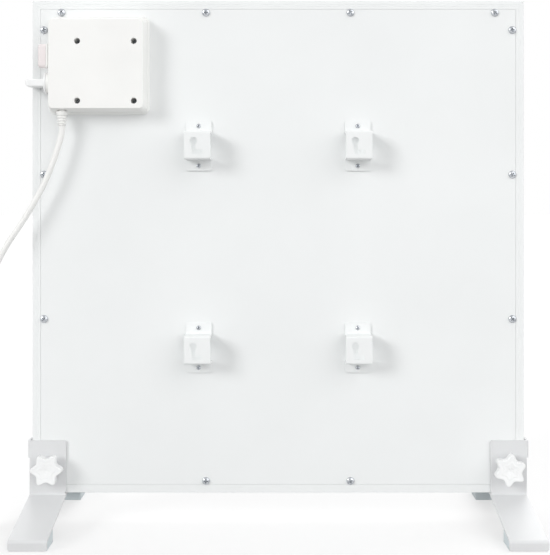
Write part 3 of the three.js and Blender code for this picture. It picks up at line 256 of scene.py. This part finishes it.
# ---------------------------------------------------------------- frame
# Four extruded aluminium rails with mitred corners, powder coated white. Each has a narrow lip at the
# back with two fine lines along it, a ledge that carries the back plate, and a lip over the front sheet.
half_panel, panel_middle, mitre_gap = 300, 336, 0.03
rail_section = [
    (0, -11, 0.5), (4.2, -11), (4.4, -10.8), (4.6, -11), (6.5, -11), (6.7, -10.8), (6.9, -11), (9.88, -11),
    (9.88, -9.7), (28, -9.7), (28, -7.9), (8.2, -7.9), (8.2, -9.4), (1.6, -9.4), (1.6, 9.4), (6, 9.4), (6, 11, 0.3),
    (0, 11, 0.5)]


def rounded(corners, steps=4):
    """An outline whose corners (a, b, radius) are replaced by arcs where they have a radius. The arc's
    middle is on the line that halves the corner, a radius from both sides."""
    parts = []
    for i, (a, b, *radius) in enumerate(corners):
        here = np.array((a, b), float)
        if not radius or radius[0] <= 0:
            parts.append(here[None])
            continue
        back, ahead = (np.array(c[:2], float) - here for c in (corners[i - 1], corners[(i + 1) % len(corners)]))
        back, ahead = back / np.linalg.norm(back), ahead / np.linalg.norm(ahead)
        half = math.acos(np.clip(back @ ahead, -1, 1)) / 2
        centre = (back + ahead) / np.linalg.norm(back + ahead) * radius[0] / math.sin(half) + here
        start = here + back * radius[0] / math.tan(half) - centre
        end = here + ahead * radius[0] / math.tan(half) - centre
        sweep = math.atan2(start[0] * end[1] - start[1] * end[0], start @ end)
        turn = np.linspace(0, sweep, steps + 1)[:, None]
        parts.append(np.cos(turn) * start + np.sin(turn) * np.array((-start[1], start[0])) + centre)
    return np.concatenate(parts)


def mitred_rail(side):
    """The section carried along one side of the panel. Each of its points runs between the two corner
    planes, so the further in it lies the shorter its run; the side turns the run into its place."""
    section = rounded(rail_section)
    run = half_panel - section[:, 0] - mitre_gap
    ends = np.stack([-run, run])
    inset, depth = np.broadcast_to(section[:, 0], ends.shape), np.broadcast_to(section[:, 1], ends.shape)
    places = {"bottom": (ends, depth, inset - half_panel), "top": (ends, depth, half_panel - inset),
              "left": (inset - half_panel, depth, ends), "right": (half_panel - inset, depth, ends)}[side]
    return lofted(np.stack(places, axis=-1) + (0, 0, panel_middle))


# Polyester powder baked on metal: satin white with the shallow swells of orange peel, drawn at 3 mm.
white_coat = finished_surface("white_powder_coat", "F2F4F4", "EEF0F0", 160, (0.36, 0.46), (3.0, 0.012))

knob_x, knob_z = 279.7, 67
for side in ("top", "bottom", "left", "right"):
    shape = mitred_rail(side)
    if side in ("left", "right"):
        boss_x = knob_x if side == "right" else -knob_x
        boss = [(4.35, -3.9), (7.5, -3.9), (7.5, -8.6), (4.35, -8.6), (4.35, -3.9)]
        shape = together(shape, turned(boss, 32, (boss_x, 0, knob_z), "y", False))
    rail = make_piece("rail_" + side, "heater", shape, white_coat)
    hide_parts("frame_" + side)

# ---------------------------------------------------------------- back plate and the layers in front of it
# A painted steel plate closes the back. Behind the radiant sheet lie the printed carbon film that warms
# it and a mineral wool pad; they and the plate are plain sheets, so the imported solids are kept.
radiant_coat = finished_surface("radiant_powder_coat", "F5F6F6", "F1F2F3", 140, (0.5, 0.62), (1.6, 0.02))
carbon_film = finished_surface("printed_carbon_film", "2E2E31", "1E1E20", 14, (0.5, 0.75), (1.2, 0.01))
mineral_wool = finished_surface("mineral_wool", "DDD6B8", "C3B991", 9, (0.9, 0.98), (2.2, 0.5))
for name, material, slot in (("back_plate", white_coat, "white_coat"),
                             ("radiant_panel", radiant_coat, "radiant_coat"),
                             ("heating_film", carbon_film, "carbon_film"),
                             ("insulation_pad", mineral_wool, "mineral_wool")):
    nodes[name].material_slots[0].material = material

# ---------------------------------------------------------------- edge screws
# Zinc plated pan heads with a cross recess, at equal steps along each side, hold the plate to the ledge.
# There is none at the lower corners, where the stands' studs go in. Each stopped at its own angle.
plate_back = -10.8


def pan_head(x, seat, z, radius, height, cross, turn, shank, reach):
    """A quarter of a superellipse turned about an axis along Y, then a shank. The recess takes away a
    depth that steps up with a point's distance inside a cross and lessens to the ends of its arms."""
    rise = np.linspace(0, math.pi / 2, 38)[:, None]
    a = 2 * math.pi * np.arange(72) / 72
    r = radius * np.sin(rise) ** 0.95
    arm, slot = cross
    p, q = np.abs(r * np.cos(a + turn)), np.abs(r * np.sin(a + turn))
    inside = -np.minimum(np.maximum(p - arm / 2, q - slot / 2), np.maximum(p - slot / 2, q - arm / 2))
    step = np.clip(inside / (0.42 * slot), 0, 1)
    recess = 0.95 * height * step ** 2 * (3 - 2 * step) * (1 - 0.6 * (2 * r / arm) ** 2)
    out = height * np.cos(rise) ** 0.8 - recess
    r = np.concatenate([r, [[shank], [shank], [0]]])
    out = np.concatenate([out, np.full((1, 72), 0.0), np.full((2, 72), -reach)])
    return lofted(np.stack([x + r * np.cos(a), seat - out, z + r * np.sin(a)], axis=-1))


screw_steps, edge_screw_seat = np.linspace(-264.5, 264.5, 4), -11.02
edge_screws = ([("top_%d" % (i + 1), x, 621.8) for i, x in enumerate(screw_steps)]
               + [("bottom_%d" % (i + 1), x, 50.2) for i, x in enumerate(screw_steps[1:3])]
               + [("left_%d" % (i + 1), -285.8, panel_middle + z) for i, z in enumerate(screw_steps[1:])]
               + [("right_%d" % (i + 1), 285.8, panel_middle + z) for i, z in enumerate(screw_steps[1:])])
for i, (place, x, z) in enumerate(edge_screws):
    shape = pan_head(x, edge_screw_seat, z, 4.75, 2.6, (5.2, 1.3), 0.4 + 1.1 * i, 2, 5.2)
    screw = make_piece("screw_" + place, "heater", shape, zinc, sharp=40)
    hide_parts("edge_screw_" + place)

# ---------------------------------------------------------------- wall brackets
# Four straps of 2 mm sheet bent into a hat, powder coated, that hang the panel on wall screws by an
# L-shaped keyhole. Each is held on by two small pan heads, one through each foot.


def within(points, loop):
    """Whether points lie inside a loop: a line to their right crosses it an odd number of times."""
    a, b = loop, np.roll(loop, -1, axis=0)
    level = points[:, None, 1]
    spans = (a[:, 1] > level) != (b[:, 1] > level)
    rise = np.where(b[:, 1] == a[:, 1], 1, b[:, 1] - a[:, 1])
    meets = a[:, 0] + (level - a[:, 1]) * (b[:, 0] - a[:, 0]) / rise
    return ((points[:, None, 0] < meets) & spans).sum(axis=1) % 2 == 1


def net_between(outer, holes, rows=()):
    """Triangles that fill an outline around its holes, with an edge along each given row. They are a
    constrained Delaunay net, less those whose middle lies outside the outline or in a hole."""
    loops = [outer, *holes]
    edges, first = [], 0
    for line in [*loops, *rows]:
        count = len(line)
        steps = [(first + i, first + (i + 1) % count) for i in range(count)]
        edges += steps if first < sum(map(len, loops)) else steps[:-1]
        first += count
    made = geometry.delaunay_2d_cdt([Vector(p) for p in np.concatenate([*loops, *rows])], edges, [], 0, 1e-5)
    points, triangles = np.array([tuple(p) for p in made[0]]), np.array(made[2])
    middle = points[triangles].mean(axis=1)
    kept = within(middle, outer)
    for hole in holes:
        kept &= ~within(middle, hole)
    used, triangles = np.unique(triangles[kept], return_inverse=True)
    return points[used], triangles.reshape(-1, 3)


def folded(outer, holes, steps, start, heading, thickness, creases=()):
    """A flat blank folded along lines across it, as (forward, up, across) points. The blank's first
    number runs along the fold path and its second across. A step of the path is a straight length, then
    a bend by an angle at a middle radius: the heading is even on straights and turns at a steady rate
    through bends, the place is the heading summed up, and the two skins lie half the thickness off it.
    Creases are more lines on the blank that get an edge along them."""
    run, headings, rows = [0.0], [math.radians(heading)], list(creases)
    across = (outer[:, 1].min() - 1, outer[:, 1].max() + 1)
    for length, angle, radius in steps:
        bent = radius * abs(math.radians(angle))
        run += [run[-1] + length, run[-1] + length + bent]
        headings += [headings[-1], headings[-1] + math.radians(angle)]
        if angle:
            rows += [np.array([(s, c) for c in across]) for s in np.linspace(run[-2], run[-1], 7)]
    s = np.unique(np.concatenate([np.linspace(0, run[-1], 4000), run]))
    turned_to = np.interp((s[1:] + s[:-1]) / 2, run, headings)
    forward = start[0] + np.concatenate([[0], np.cumsum(np.diff(s) * np.cos(turned_to))])
    up = start[1] + np.concatenate([[0], np.cumsum(np.diff(s) * np.sin(turned_to))])
    blank, triangles = net_between(outer, holes, rows)
    angle = np.interp(blank[:, 0], run, headings)
    place = np.stack([np.interp(blank[:, 0], s, forward), np.interp(blank[:, 0], s, up), blank[:, 1]], 1)
    normal = np.stack([-np.sin(angle), np.cos(angle), 0 * angle], 1)
    skins = np.concatenate([place + normal * thickness / 2, place - normal * thickness / 2])
    sides = np.concatenate([triangles[:, [0, 1]], triangles[:, [1, 2]], triangles[:, [2, 0]]])
    _, index, times = np.unique(np.sort(sides, axis=1), axis=0, return_index=True, return_counts=True)
    rim = sides[index[times == 1]]
    count = len(blank)
    faces = (triangles.tolist() + (triangles[:, ::-1] + count).tolist()
             + np.stack([rim[:, 0], rim[:, 1], rim[:, 1] + count, rim[:, 0] + count], 1).tolist())
    return skins, faces


def circle(x, y, radius, sides=32):
    """Points at equal angles round a centre."""
    a = 2 * math.pi * np.arange(sides) / sides
    return np.stack([x + radius * np.cos(a), y + radius * np.sin(a)], 1)


bracket_width, bracket_end, hat_half, sheet = 31.5, 30.25, 17, 2
bend_radius = 1.4
foot_y, face_y, bracket_screw_seat = -12.1, -40, -13.12
foot_length = bracket_end - hat_half + sheet / 2 - bend_radius
wall_length = foot_y - face_y - 2 * bend_radius
face_length = 2 * (hat_half - sheet / 2 - bend_radius)
bend_length = bend_radius * math.pi / 2
path = [(foot_length, -90, bend_radius), (wall_length, 90, bend_radius), (face_length, 90, bend_radius),
        (wall_length, -90, bend_radius), (foot_length, 0, 0)]
middle = foot_length + wall_length + face_length / 2 + 2 * bend_length
half = bracket_width / 2
blank = rounded([(0, -half, 2), (2 * middle, -half, 2), (2 * middle, half, 2), (0, half, 2)])
slot, entry_radius = 5.4, 4.4
opening = np.linspace(-1, 1, 41) * (math.pi - math.asin(slot / 2 / entry_radius))
entry = np.stack([5.2 + entry_radius * np.cos(opening), -4.7 - entry_radius * np.sin(opening)], 1)
elbow = rounded([(-11, -7.4, 0.8), (-11, 6.6, 0.8), (-5.6, 6.6, 0.8), (-5.6, -2.0, 0.6)])
keyhole = np.concatenate([elbow, entry]) + (middle, 0)
screw_holes = [circle(middle + side * (middle - 6), 0, 1.9, 20) for side in (-1, 1)]

for level, z in (("upper", 459), ("lower", 213)):
    for side, x in (("left", -97), ("right", 97)):
        skins, faces = folded(blank, [keyhole, *screw_holes], path, (z - bracket_end, foot_y), 0, sheet)
        name = level + "_" + side
        bracket = make_piece("bracket_" + name, "heater", (skins[:, [2, 1, 0]] + (x, 0, 0), faces),
                             white_coat, sharp=40, edge=0.25)
        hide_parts("wall_bracket_" + name)
        for place, step in (("upper", 24.25), ("lower", -24.25)):
            shape = pan_head(x, bracket_screw_seat, z + step, 2.8, 1.8, (3.4, 1.1), 0.3 * x + 0.5 * step + z, 1.6, 6)
            screw = make_piece("bracket_screw_%s_%s.head" % (name, place), "heater", shape, zinc, sharp=40)
            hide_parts("bracket_screw_%s_%s" % (name, place))

# ---------------------------------------------------------------- control box
# A shallow base and a deeper cover, moulded in warm white plastic with a fine spark grain. The walls lean
# in to leave the tool, a stepped seam runs round, and four screws sit at the bottom of round wells.
box_depth, seam_step, cover_round = 27.7, 0.4, 0.8
well_x, well_z = (-241.2, -173.2), (512.2, 583.8)
knob_centre, pad_radius, well_seat = (-279.5, -25.8, 534), 12.2, -22.85


def box_ring(depth, inset, corner=8.0):
    """The box's outline at a depth from the plate: a rounded rectangle that draws in with the depth,
    less at the two sides and with ever tighter corners, and by an inset on top of that."""
    lean, lean_right, lean_left = (draft * depth / box_depth + inset for draft in (5.6, 5, 3))
    radius = max(corner - inset - 2.5 * depth / box_depth, 1)
    ring = rounded([(-279.2 + lean_left, 497 + lean, radius), (-156.6 - lean_right, 497 + lean, radius),
                    (-156.6 - lean_right, 616.5 - lean, radius), (-279.2 + lean_left, 616.5 - lean, radius)], 8)
    return np.stack([ring[:, 0], np.full(len(ring), plate_back - depth), ring[:, 1]], 1)


box_plastic = finished_surface("grained_moulding", "F8F8F6", "F4F4F2", 60, (0.42, 0.54), (1.4, 0.02))
arc = np.linspace(0, math.pi / 2, 6)
base_levels = [(0.05, 0.4), (0.6, 0.4), (0.8, 0), (9.4, 0), (9.7, 0.1), (9.8, 0.4), (9.8, 2.2), (2.5, 2.2)]
base = make_piece("base_moulding", "heater", lofted([box_ring(*level) for level in base_levels]),
                  box_plastic, sharp=35)
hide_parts("box_base")

cover_levels = [(25.5, 3.1), (9.9, 3.1), (9.9, 1.5), (10.5, 1.4), (10.6, 0.7), (10.8, seam_step)]
cover_levels += [(box_depth - cover_round * (1 - math.sin(t)), seam_step + cover_round * (1 - math.cos(t)))
                 for t in arc]
rings = np.array([box_ring(*level) for level in cover_levels])
shapes = [lofted(rings, False)]
wells = [(x, z) for x in well_x for z in well_z]
for ring, depth, radius in ((rings[-1], box_depth, 4.1), (rings[0], 25.5, 5.2)):
    face, triangles = net_between(ring[:, [0, 2]], [circle(x, z, radius, 40) for x, z in wells])
    shapes.append((np.stack([face[:, 0], np.full(len(face), plate_back - depth), face[:, 1]], 1), triangles.tolist()))
for x, z in wells:
    well = [(4.1 - 0.5 * math.sin(t), box_depth - 0.5 * (1 - math.cos(t))) for t in arc]
    well += [(3.55, 12.4), (3.2, 12), (0, 12)]
    shapes.append(turned(well, 40, (x, plate_back, z), "-y", False))
    shapes.append(turned([(5.2, 25.5), (5.2, 9.8), (0, 9.8)], 40, (x, plate_back, z), "-y", False))
# A pad on the wall closes the gap behind the thermostat knob's skirt, as far as the seam.
pad = circle(*knob_centre[1:], pad_radius, 48)
pad[:, 0] = np.minimum(pad[:, 0], plate_back - 10.1)
shapes.append(lofted([np.insert(pad, 0, x, axis=1) for x in (-275.6, -279.35)]))
cover = make_piece("cover_moulding", "heater", together(*shapes), box_plastic, sharp=35)
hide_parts("box_cover")

for i, (x, z) in enumerate(wells):
    shape = pan_head(x, well_seat, z, 3, 2.2, (3.6, 0.95), 0.7 + 1.3 * i, 1.5, 14)
    screw = make_piece("cover_screw_%d" % (i + 1), "heater", shape, zinc, sharp=40)
    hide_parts("box_screw_%d" % (i + 1))

# ---------------------------------------------------------------- rocker switch
# A snap-in switch in the box's left wall. Its housing is white plastic with a bezel round an open pocket,
# its rocker is a see-through red moulding, and a clear silicone boot over it keeps water out.
switch_x, switch_y, switch_z = -277.41, -29.1, 566.5


def wall_ring(x, inset, corner, breadth=14.6, length=29.0):
    """A rounded rectangle about the switch's axis at a place along it, drawn in by an inset."""
    across, along = breadth / 2 - inset, length / 2 - inset
    radius = max(corner - inset, 0.3)
    ring = rounded([(-across, -along, radius), (across, -along, radius),
                    (across, along, radius), (-across, along, radius)], 6)
    return np.stack([np.full(len(ring), switch_x + x), switch_y + ring[:, 0], switch_z + ring[:, 1]], 1)


housing_levels = [(20, 1.3), (0.1, 1.3), (0.1, 0), (-1.3, 0), (-1.66, 0.12), (-1.8, 0.5), (-1.8, 1.6),
                  (-1.6, 1.9), (9, 1.9)]
housing = make_piece("switch_body", "heater", lofted([wall_ring(x, inset, 1.6) for x, inset in housing_levels]),
                     box_plastic, sharp=35)
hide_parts("switch_housing")

# Red transparent acrylic: glossy, lit through from behind by the pale housing.
rocker_red = finished_surface("red_acrylic", "E01F2C", "C8141F", 12, (0.08, 0.2), (2.0, 0.004))
rocker_red.node_tree.nodes["Principled BSDF"].inputs["Transmission Weight"].default_value = 0.35
side_view = rounded([(-5.2, 0, 40), (-5.8, 11.2, 0.9), (0.2, 10.4), (2.5, 4), (6, 2.5, 1), (6, -2.5, 1), (2.5, -4),
                     (0.2, -10.4), (-5.8, -11.2, 0.9)], 8)
tilt = math.radians(8)
rocker_x = side_view[:, 0] * math.cos(tilt) + side_view[:, 1] * math.sin(tilt)
rocker_z = side_view[:, 1] * math.cos(tilt) - side_view[:, 0] * math.sin(tilt)
halves = [np.stack([switch_x + rocker_x, np.full(len(rocker_x), switch_y + y), switch_z + rocker_z], 1)
          for y in (-5.1, 5.1)]
rocker = make_piece("rocker", "rocker", lofted(halves), rocker_red, sharp=50, edge=0.5)
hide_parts("switch_rocker")

# Clear silicone rubber: a milky, soft-edged shell that lets little light through. Its pale pink tone is painted
# light, standing in for the red rocker's light scattered through it.
clear_silicone = finished_surface("clear_silicone", "FDF6F6", "F9F0F0", 12, (0.16, 0.26), (2.0, 0.01))
silicone = clear_silicone.node_tree.nodes["Principled BSDF"]
silicone.inputs["Transmission Weight"].default_value = 0.12
silicone.inputs["IOR"].default_value = 1.41
boot_foot, boot_top = -1.85, -11.3
outside = [(boot_top + 2.6 * (1 - math.sin(t)), 0.3 + 2.6 * (1 - math.cos(t))) for t in arc[::-1]] + [(boot_foot, 0)]
inside = [(boot_foot, 1.0)] + [(boot_top + 1 + 1.8 * (1 - math.sin(t)), 1.3 + 1.8 * (1 - math.cos(t))) for t in arc]
boot = make_piece("boot", "heater", lofted([wall_ring(x, inset, 4) for x, inset in outside + inside]),
                  clear_silicone, sharp=60)
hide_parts("switch_boot")

# ---------------------------------------------------------------- thermostat knob
# One hard white moulding on the thermostat's spindle: a round skirt with a softly rounded bar across it
# as the grip. The thermostat, terminal block and cut-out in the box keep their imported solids.
skirt = [(0, 0.05), (12.3, 0.05), (12.7, 0.2), (12.8, 0.6), (12.8, 1.8), (12.7, 2.25), (12.4, 2.52), (12, 2.6),
         (0, 2.6)]
nose = [(24.5 - 4.8 * (1 - math.sin(t)), 4.6 - 4.3 * (1 - math.cos(t)), 11.3 - 3 * (1 - math.cos(t)))
        for t in np.linspace(0, math.pi / 2, 10)]
nose = [(2.0, 4.75, 11.45), (3.2, 4.6, 11.3), *nose]
bar = []
for out, thick, broad in nose:
    corner = min(1.6, 0.9 * thick)
    ring = rounded([(-broad, -thick, corner), (broad, -thick, corner),
                    (broad, thick, corner), (-broad, thick, corner)], 5)
    bar.append(np.stack([np.full(len(ring), -out), ring[:, 0], ring[:, 1]], 1) + knob_centre)
shape = together(turned(skirt, 72, knob_centre, "-x", False), lofted(bar))
knob = make_piece("knob_moulding", "thermostat_dial", shape, gloss_white, sharp=40)
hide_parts("thermostat_knob")
nylon = finished_surface("natural_nylon", "EAE6DA", "E0DACA", 8, (0.4, 0.55), (1.2, 0.01))
for name in ("thermostat_body", "terminal_block", "thermal_cutout"):
    nodes[name].material_slots[0].material = nylon

# ---------------------------------------------------------------- strain relief
# A tapered sleeve in the lead's own soft PVC, moulded on to it under the box. It narrows over four ribs
# to a thin lip, and its neck and locking flange are inside the box's bottom wall.
relief_top = 499.95
ribs = []
for i in range(4):
    low, radius = relief_top - 3 - 3.375 * i, 6.8 - 0.4 * (i + 0.5)
    ribs += [(radius - 0.25, low), (radius, low - 0.3), (radius, low - 1.5), (radius - 0.25, low - 1.85),
             (radius - 1.65, low - 2.05), (radius - 1.7, low - 2.6), (radius - 1.65, low - 3.15)]
sleeve_profile = [(0, 507.5), (4, 507.5), (4, 505.4), (6.8, 505.4), (6.8, 503.4), (3.7, 503.4), (3.7, 500.3),
                  (5.4, 500.2), (6.4, 499.8), (6.8, 499), (6.8, 497.5), *ribs, (5.0, 483.3), (4.6, 482.9),
                  (3.4, 482.8), (0, 482.8)]
relief = make_piece("relief_sleeve", "heater", turned(sleeve_profile, 48, (-261, -28.1, 0), "z", False), lead_pvc,
                    sharp=50)
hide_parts("strain_relief")

# ---------------------------------------------------------------- stands
# Each stand is 2.3 mm sheet steel, bent and powder coated. One strip is the rear leg, turned up behind
# the panel as an upright whose tab folds round the panel's side; the front leg's strip is welded to it.
stand_sheet, stand_inner, stand_outer, tip_y, leg_slope = 2.3, 258.6, 303.0, 137, 22.9 / 126
leg_angle = math.degrees(math.atan(leg_slope))
stand_coat = finished_surface("grey_white_powder_coat", "E0E1E2", "DCDDDE", 120, (0.34, 0.44), (2.6, 0.012))
middle_y = tip_y - stand_sheet / 2
tip_radius, fold_radius, ear_radius = 2.85, 3.15, 1.55
upright_y, upright_top = -12.45, 100
leg_height, half_depth, tip_lift, seat_top, seat_radius = 34.6, 11, 0.5, 35.7, 4


def leg_middle(y):
    """Height of the leg's middle surface at a distance from the panel's middle."""
    return leg_height - leg_slope * (y - half_depth) - stand_sheet / 2 * math.hypot(1, leg_slope)


def bend_setback(angle, radius):
    """How far before the meeting point of two straights the bend between them starts."""
    return radius * math.tan(math.radians(abs(angle)) / 2)


tip_turn = 90 - leg_angle
tip_rise = leg_middle(middle_y) - tip_lift - bend_setback(tip_turn, tip_radius)
reach = (middle_y + upright_y) / math.cos(math.radians(leg_angle))
rear_length = reach - bend_setback(tip_turn, tip_radius) - bend_setback(tip_turn, fold_radius)
rear_steps = [(tip_rise, -tip_turn, tip_radius), (rear_length, tip_turn, fold_radius)]
fold_end = leg_middle(-upright_y) + bend_setback(tip_turn, fold_radius)
rear_steps.append((upright_top - fold_end, 0, 0))
rear_run = sum(length + radius * math.radians(abs(angle)) for length, angle, radius in rear_steps)
ear_bend = stand_outer - 0.4
ear_end = ear_bend + ear_radius * math.pi / 2 + 9 - (upright_y + ear_radius)
rear_blank = rounded([(0, stand_inner, 2.5), (0, stand_outer, 2.5), (rear_run - 21, stand_outer, 0.6),
                      (rear_run - 21, ear_end, 2), (rear_run, ear_end, 2), (rear_run, stand_inner, 2)])
stud_hole = circle(rear_run - (upright_top - knob_z), knob_x, 4.35, 32)
notch = circle(rear_run - 64, stand_inner, 1.5, 24)
ear_creases = [np.array([(rear_run - 21.5, c), (rear_run + 1, c)])
               for c in ear_bend + np.linspace(0, ear_radius * math.pi / 2, 7)]
skins, rear_faces = folded(rear_blank, [stud_hole, notch], rear_steps, (-middle_y, tip_lift), 90, stand_sheet,
                           ear_creases)
out = np.where(np.arange(len(skins)) < len(skins) // 2, 1, -1) * stand_sheet / 2
around = np.clip((skins[:, 2] - ear_bend) / ear_radius, 0, math.pi / 2)
past = np.maximum(skins[:, 2] - ear_bend - ear_radius * math.pi / 2, 0)
in_ear = (skins[:, 2] > ear_bend) & (skins[:, 1] > upright_top - 21.1)
ear_x = ear_bend + (ear_radius + out) * np.sin(around)
ear_y = upright_y + ear_radius - (ear_radius + out) * np.cos(around) + past
rear_strip = np.stack([np.where(in_ear, ear_x, skins[:, 2]), np.where(in_ear, ear_y, skins[:, 0]), skins[:, 1]], 1)

seat_middle = seat_top - stand_sheet / 2
level_from = half_depth - (seat_middle - leg_middle(half_depth)) / leg_slope
front_setback = bend_setback(leg_angle, seat_radius)
front_length = ((middle_y - level_from) / math.cos(math.radians(leg_angle)) - bend_setback(tip_turn, tip_radius)
                - front_setback)
front_steps = [(tip_rise, tip_turn, tip_radius), (front_length, leg_angle, seat_radius),
               (level_from - front_setback + 11.25, 0, 0)]
front_run = sum(length + radius * math.radians(abs(angle)) for length, angle, radius in front_steps)
front_blank = rounded([(0, stand_inner, 2.5), (0, stand_outer, 2.5),
                       (front_run, stand_outer), (front_run, stand_inner)])
skins, front_faces = folded(front_blank, [], front_steps, (middle_y, tip_lift), 90, stand_sheet)
front_strip = skins[:, [2, 0, 1]]
for side, mirror in (("left", -1), ("right", 1)):
    shape = together((rear_strip * (mirror, 1, 1), rear_faces), (front_strip * (mirror, 1, 1), front_faces))
    stand = make_piece("stand_strip_" + side, "heater", shape, stand_coat, sharp=40, edge=0.3)
    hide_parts("stand_" + side)

# ---------------------------------------------------------------- feet
# Moulded plastic blocks that fill the corner between a leg, its folded tip and the floor, pressed in from below. The
# top follows the leg's slope and all the edges are rounded.
# Their blue-grey colour is painted shade: it gives the whole block the darker look of its shaded sides under the
# legs.
foot_plastic_painted_shade = finished_surface("moulding_with_painted_shade", "DAE3E6", "D1DADD", 40, (0.45, 0.6), (1.6, 0.03))
foot_outer, foot_length = 134.4, 36
under_leg = [leg_middle(y) - stand_sheet / 2 * math.hypot(1, leg_slope) - 0.15
             for y in (foot_outer, foot_outer - foot_length)]
foot_side = rounded([(foot_outer - foot_length, 0, 0.8), (foot_outer, 0, 0.8), (foot_outer, under_leg[0], 1.6),
                     (foot_outer - foot_length, under_leg[1], 0.6)], 5)
for side, mirror in (("left", -1), ("right", 1)):
    for end, towards in (("front", 1), ("rear", -1)):
        faces = [np.stack([np.full(len(foot_side), mirror * x), towards * foot_side[:, 0], foot_side[:, 1]], 1)
                 for x in (stand_inner + 0.3, stand_outer - 0.3)]
        foot = make_piece("foot_block_%s_%s" % (side, end), "heater", lofted(faces), foot_plastic_painted_shade,
                          sharp=50, edge=0.7)
        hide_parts("foot_%s_%s" % (side, end))

# ---------------------------------------------------------------- star knobs
# White plastic knobs with six rather pointed lobes and a round neck, each moulded on to a plated stud
# that passes a washer and the stand's upright and screws into the frame.
neck_seat, edge_round, washer_seat = -15.55, 1.3, -13.68


def star_knob(x, turn):
    """The outline's radius follows a cosine of six times the angle, sharpened a little at the lobes. It is
    drawn in by a quarter circle at both ends of the head and becomes the round neck below, and a low
    ridge between the lobes' shape and a circle runs round the top."""
    a = 2 * math.pi * np.arange(144) / 144
    wave = np.cos(6 * (a - turn))
    rim = 16 + 2.65 * (wave + 0.25 * wave ** 2)
    rings = [(0, 0), (9.6, 0), (10.6, 0.3), (11, 1), (11, 4.6)]
    levels = [np.full(144, radius) for radius, _ in rings]
    heights = [height for _, height in rings]
    for t in arc:
        levels.append(rim - edge_round * (1 - math.sin(t)))
        heights.append(5 + edge_round * (1 - math.cos(t)))
    for t in arc:
        levels.append(rim - edge_round * (1 - math.cos(t)))
        heights.append(18.5 - edge_round * (1 - math.sin(t)))
    for share, sink in ((0.93, 0), (0.82, 0.35), (0.76, 0.35), (0.71, 0.05), (0.66, 0.05), (0.6, 0.4), (0.4, 0.45),
                        (0.36, 0.8), (0, 0.8)):
        levels.append(share * (7.5 + (rim - edge_round - 7.5) * share))
        heights.append(18.5 - sink)
    r, h = np.array(levels), np.array(heights)[:, None] + np.zeros(144)
    return lofted(np.stack([x + r * np.cos(a), neck_seat - h, knob_z + r * np.sin(a)], -1), False)


for side, mirror, turn in (("left", -1, math.pi), ("right", 1, 0.384)):
    x = mirror * knob_x
    ring = [(4.3, 0), (9.2, 0), (9.5, 0.25), (9.5, 1.45), (9.2, 1.7), (4.3, 1.7), (4.3, 0)]
    washer = make_piece("washer_" + side, "heater", turned(ring, 48, (x, washer_seat, knob_z), "-y", False),
                        zinc)
    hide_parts("knob_washer_" + side)
    grip = make_piece("grip_" + side, "clamp_" + side, star_knob(x, turn), gloss_white, sharp=40)
    stud_profile = [(0, 0.5), (4, 0.5), (4, -12.6), (3, -13.55), (0, -13.55)]
    make_piece("stud_" + side, "clamp_" + side, turned(stud_profile, 32, (x, neck_seat, knob_z), "-y", False),
               zinc)
    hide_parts("star_knob_" + side)

# ---------------------------------------------------------------- floor and light
# A white floor that only shows the object's shadow and a white surround. The light is a studio's: a
# crisp one from the upper left, a broad one from the upper right, an even surround, and one for the front.
stage_mesh = bpy.data.meshes.new("floor")
stage_mesh.from_pydata([(x, y, 0) for x, y in ((-30, -30), (30, -30), (30, 30), (-30, 30))], [], [(0, 1, 2, 3)])
floor = bpy.data.objects.new("floor", stage_mesh)
bpy.context.scene.collection.objects.link(floor)
paper = bpy.data.materials.new("white_paper")
world = bpy.data.worlds.new("surround")
bpy.context.scene.world = world
seen = {}
for place in (paper, world):
    place.use_nodes = True
    ray = add_node(place.node_tree, "LightPath")
    seen[place] = ray.outputs["Is Camera Ray"]
    for kind in ("Is Glossy Ray", "Is Transmission Ray"):
        either = add_node(place.node_tree, "Math", {"operation": "MAXIMUM"})
        place.node_tree.links.new(seen[place], either.inputs[0])
        place.node_tree.links.new(ray.outputs[kind], either.inputs[1])
        seen[place] = either.outputs[0]

# The floor gives back half of the light that falls on it, and is lifted to white where it is looked at.
tree = paper.node_tree
tree.nodes.remove(tree.nodes["Principled BSDF"])
lift = add_node(tree, "MapRange", Value=seen[paper], To_Max=0.5)
matt = add_node(tree, "BsdfDiffuse", Color=(0.5, 0.5, 0.5, 1))
glow = add_node(tree, "Emission", Color=(1, 1, 1, 1), Strength=lift.outputs["Result"])
whitened = add_node(tree, "AddShader")
tree.links.new(matt.outputs[0], whitened.inputs[0])
tree.links.new(glow.outputs[0], whitened.inputs[1])
tree.links.new(whitened.outputs[0], tree.nodes["Material Output"].inputs["Surface"])
stage_mesh.materials.append(paper)

# The surround is plain white to look at, and lights the object with about half of that.
tree = world.node_tree
plain = add_node(tree, "MapRange", Value=seen[world], To_Min=0.54, To_Max=1.0)
around = tree.nodes["Background"]
around.inputs["Color"].default_value = (1, 1, 1, 1)
tree.links.new(plain.outputs["Result"], around.inputs["Strength"])

for name, towards, strength, spread in (("key", (0.68, 0.62, -0.34), 1.2, 22),
                                        ("side", (-0.67, 0.61, -0.25), 1.45, 80),
                                        ("fill", (-0.25, -0.7, -0.67), 1.3, 60)):
    lamp = bpy.data.lights.new(name, "SUN")
    lamp.energy, lamp.angle = strength, math.radians(spread)
    light = bpy.data.objects.new(name, lamp)
    bpy.context.scene.collection.objects.link(light)
    light.rotation_euler = Vector(towards).to_track_quat("-Z", "Y").to_euler()
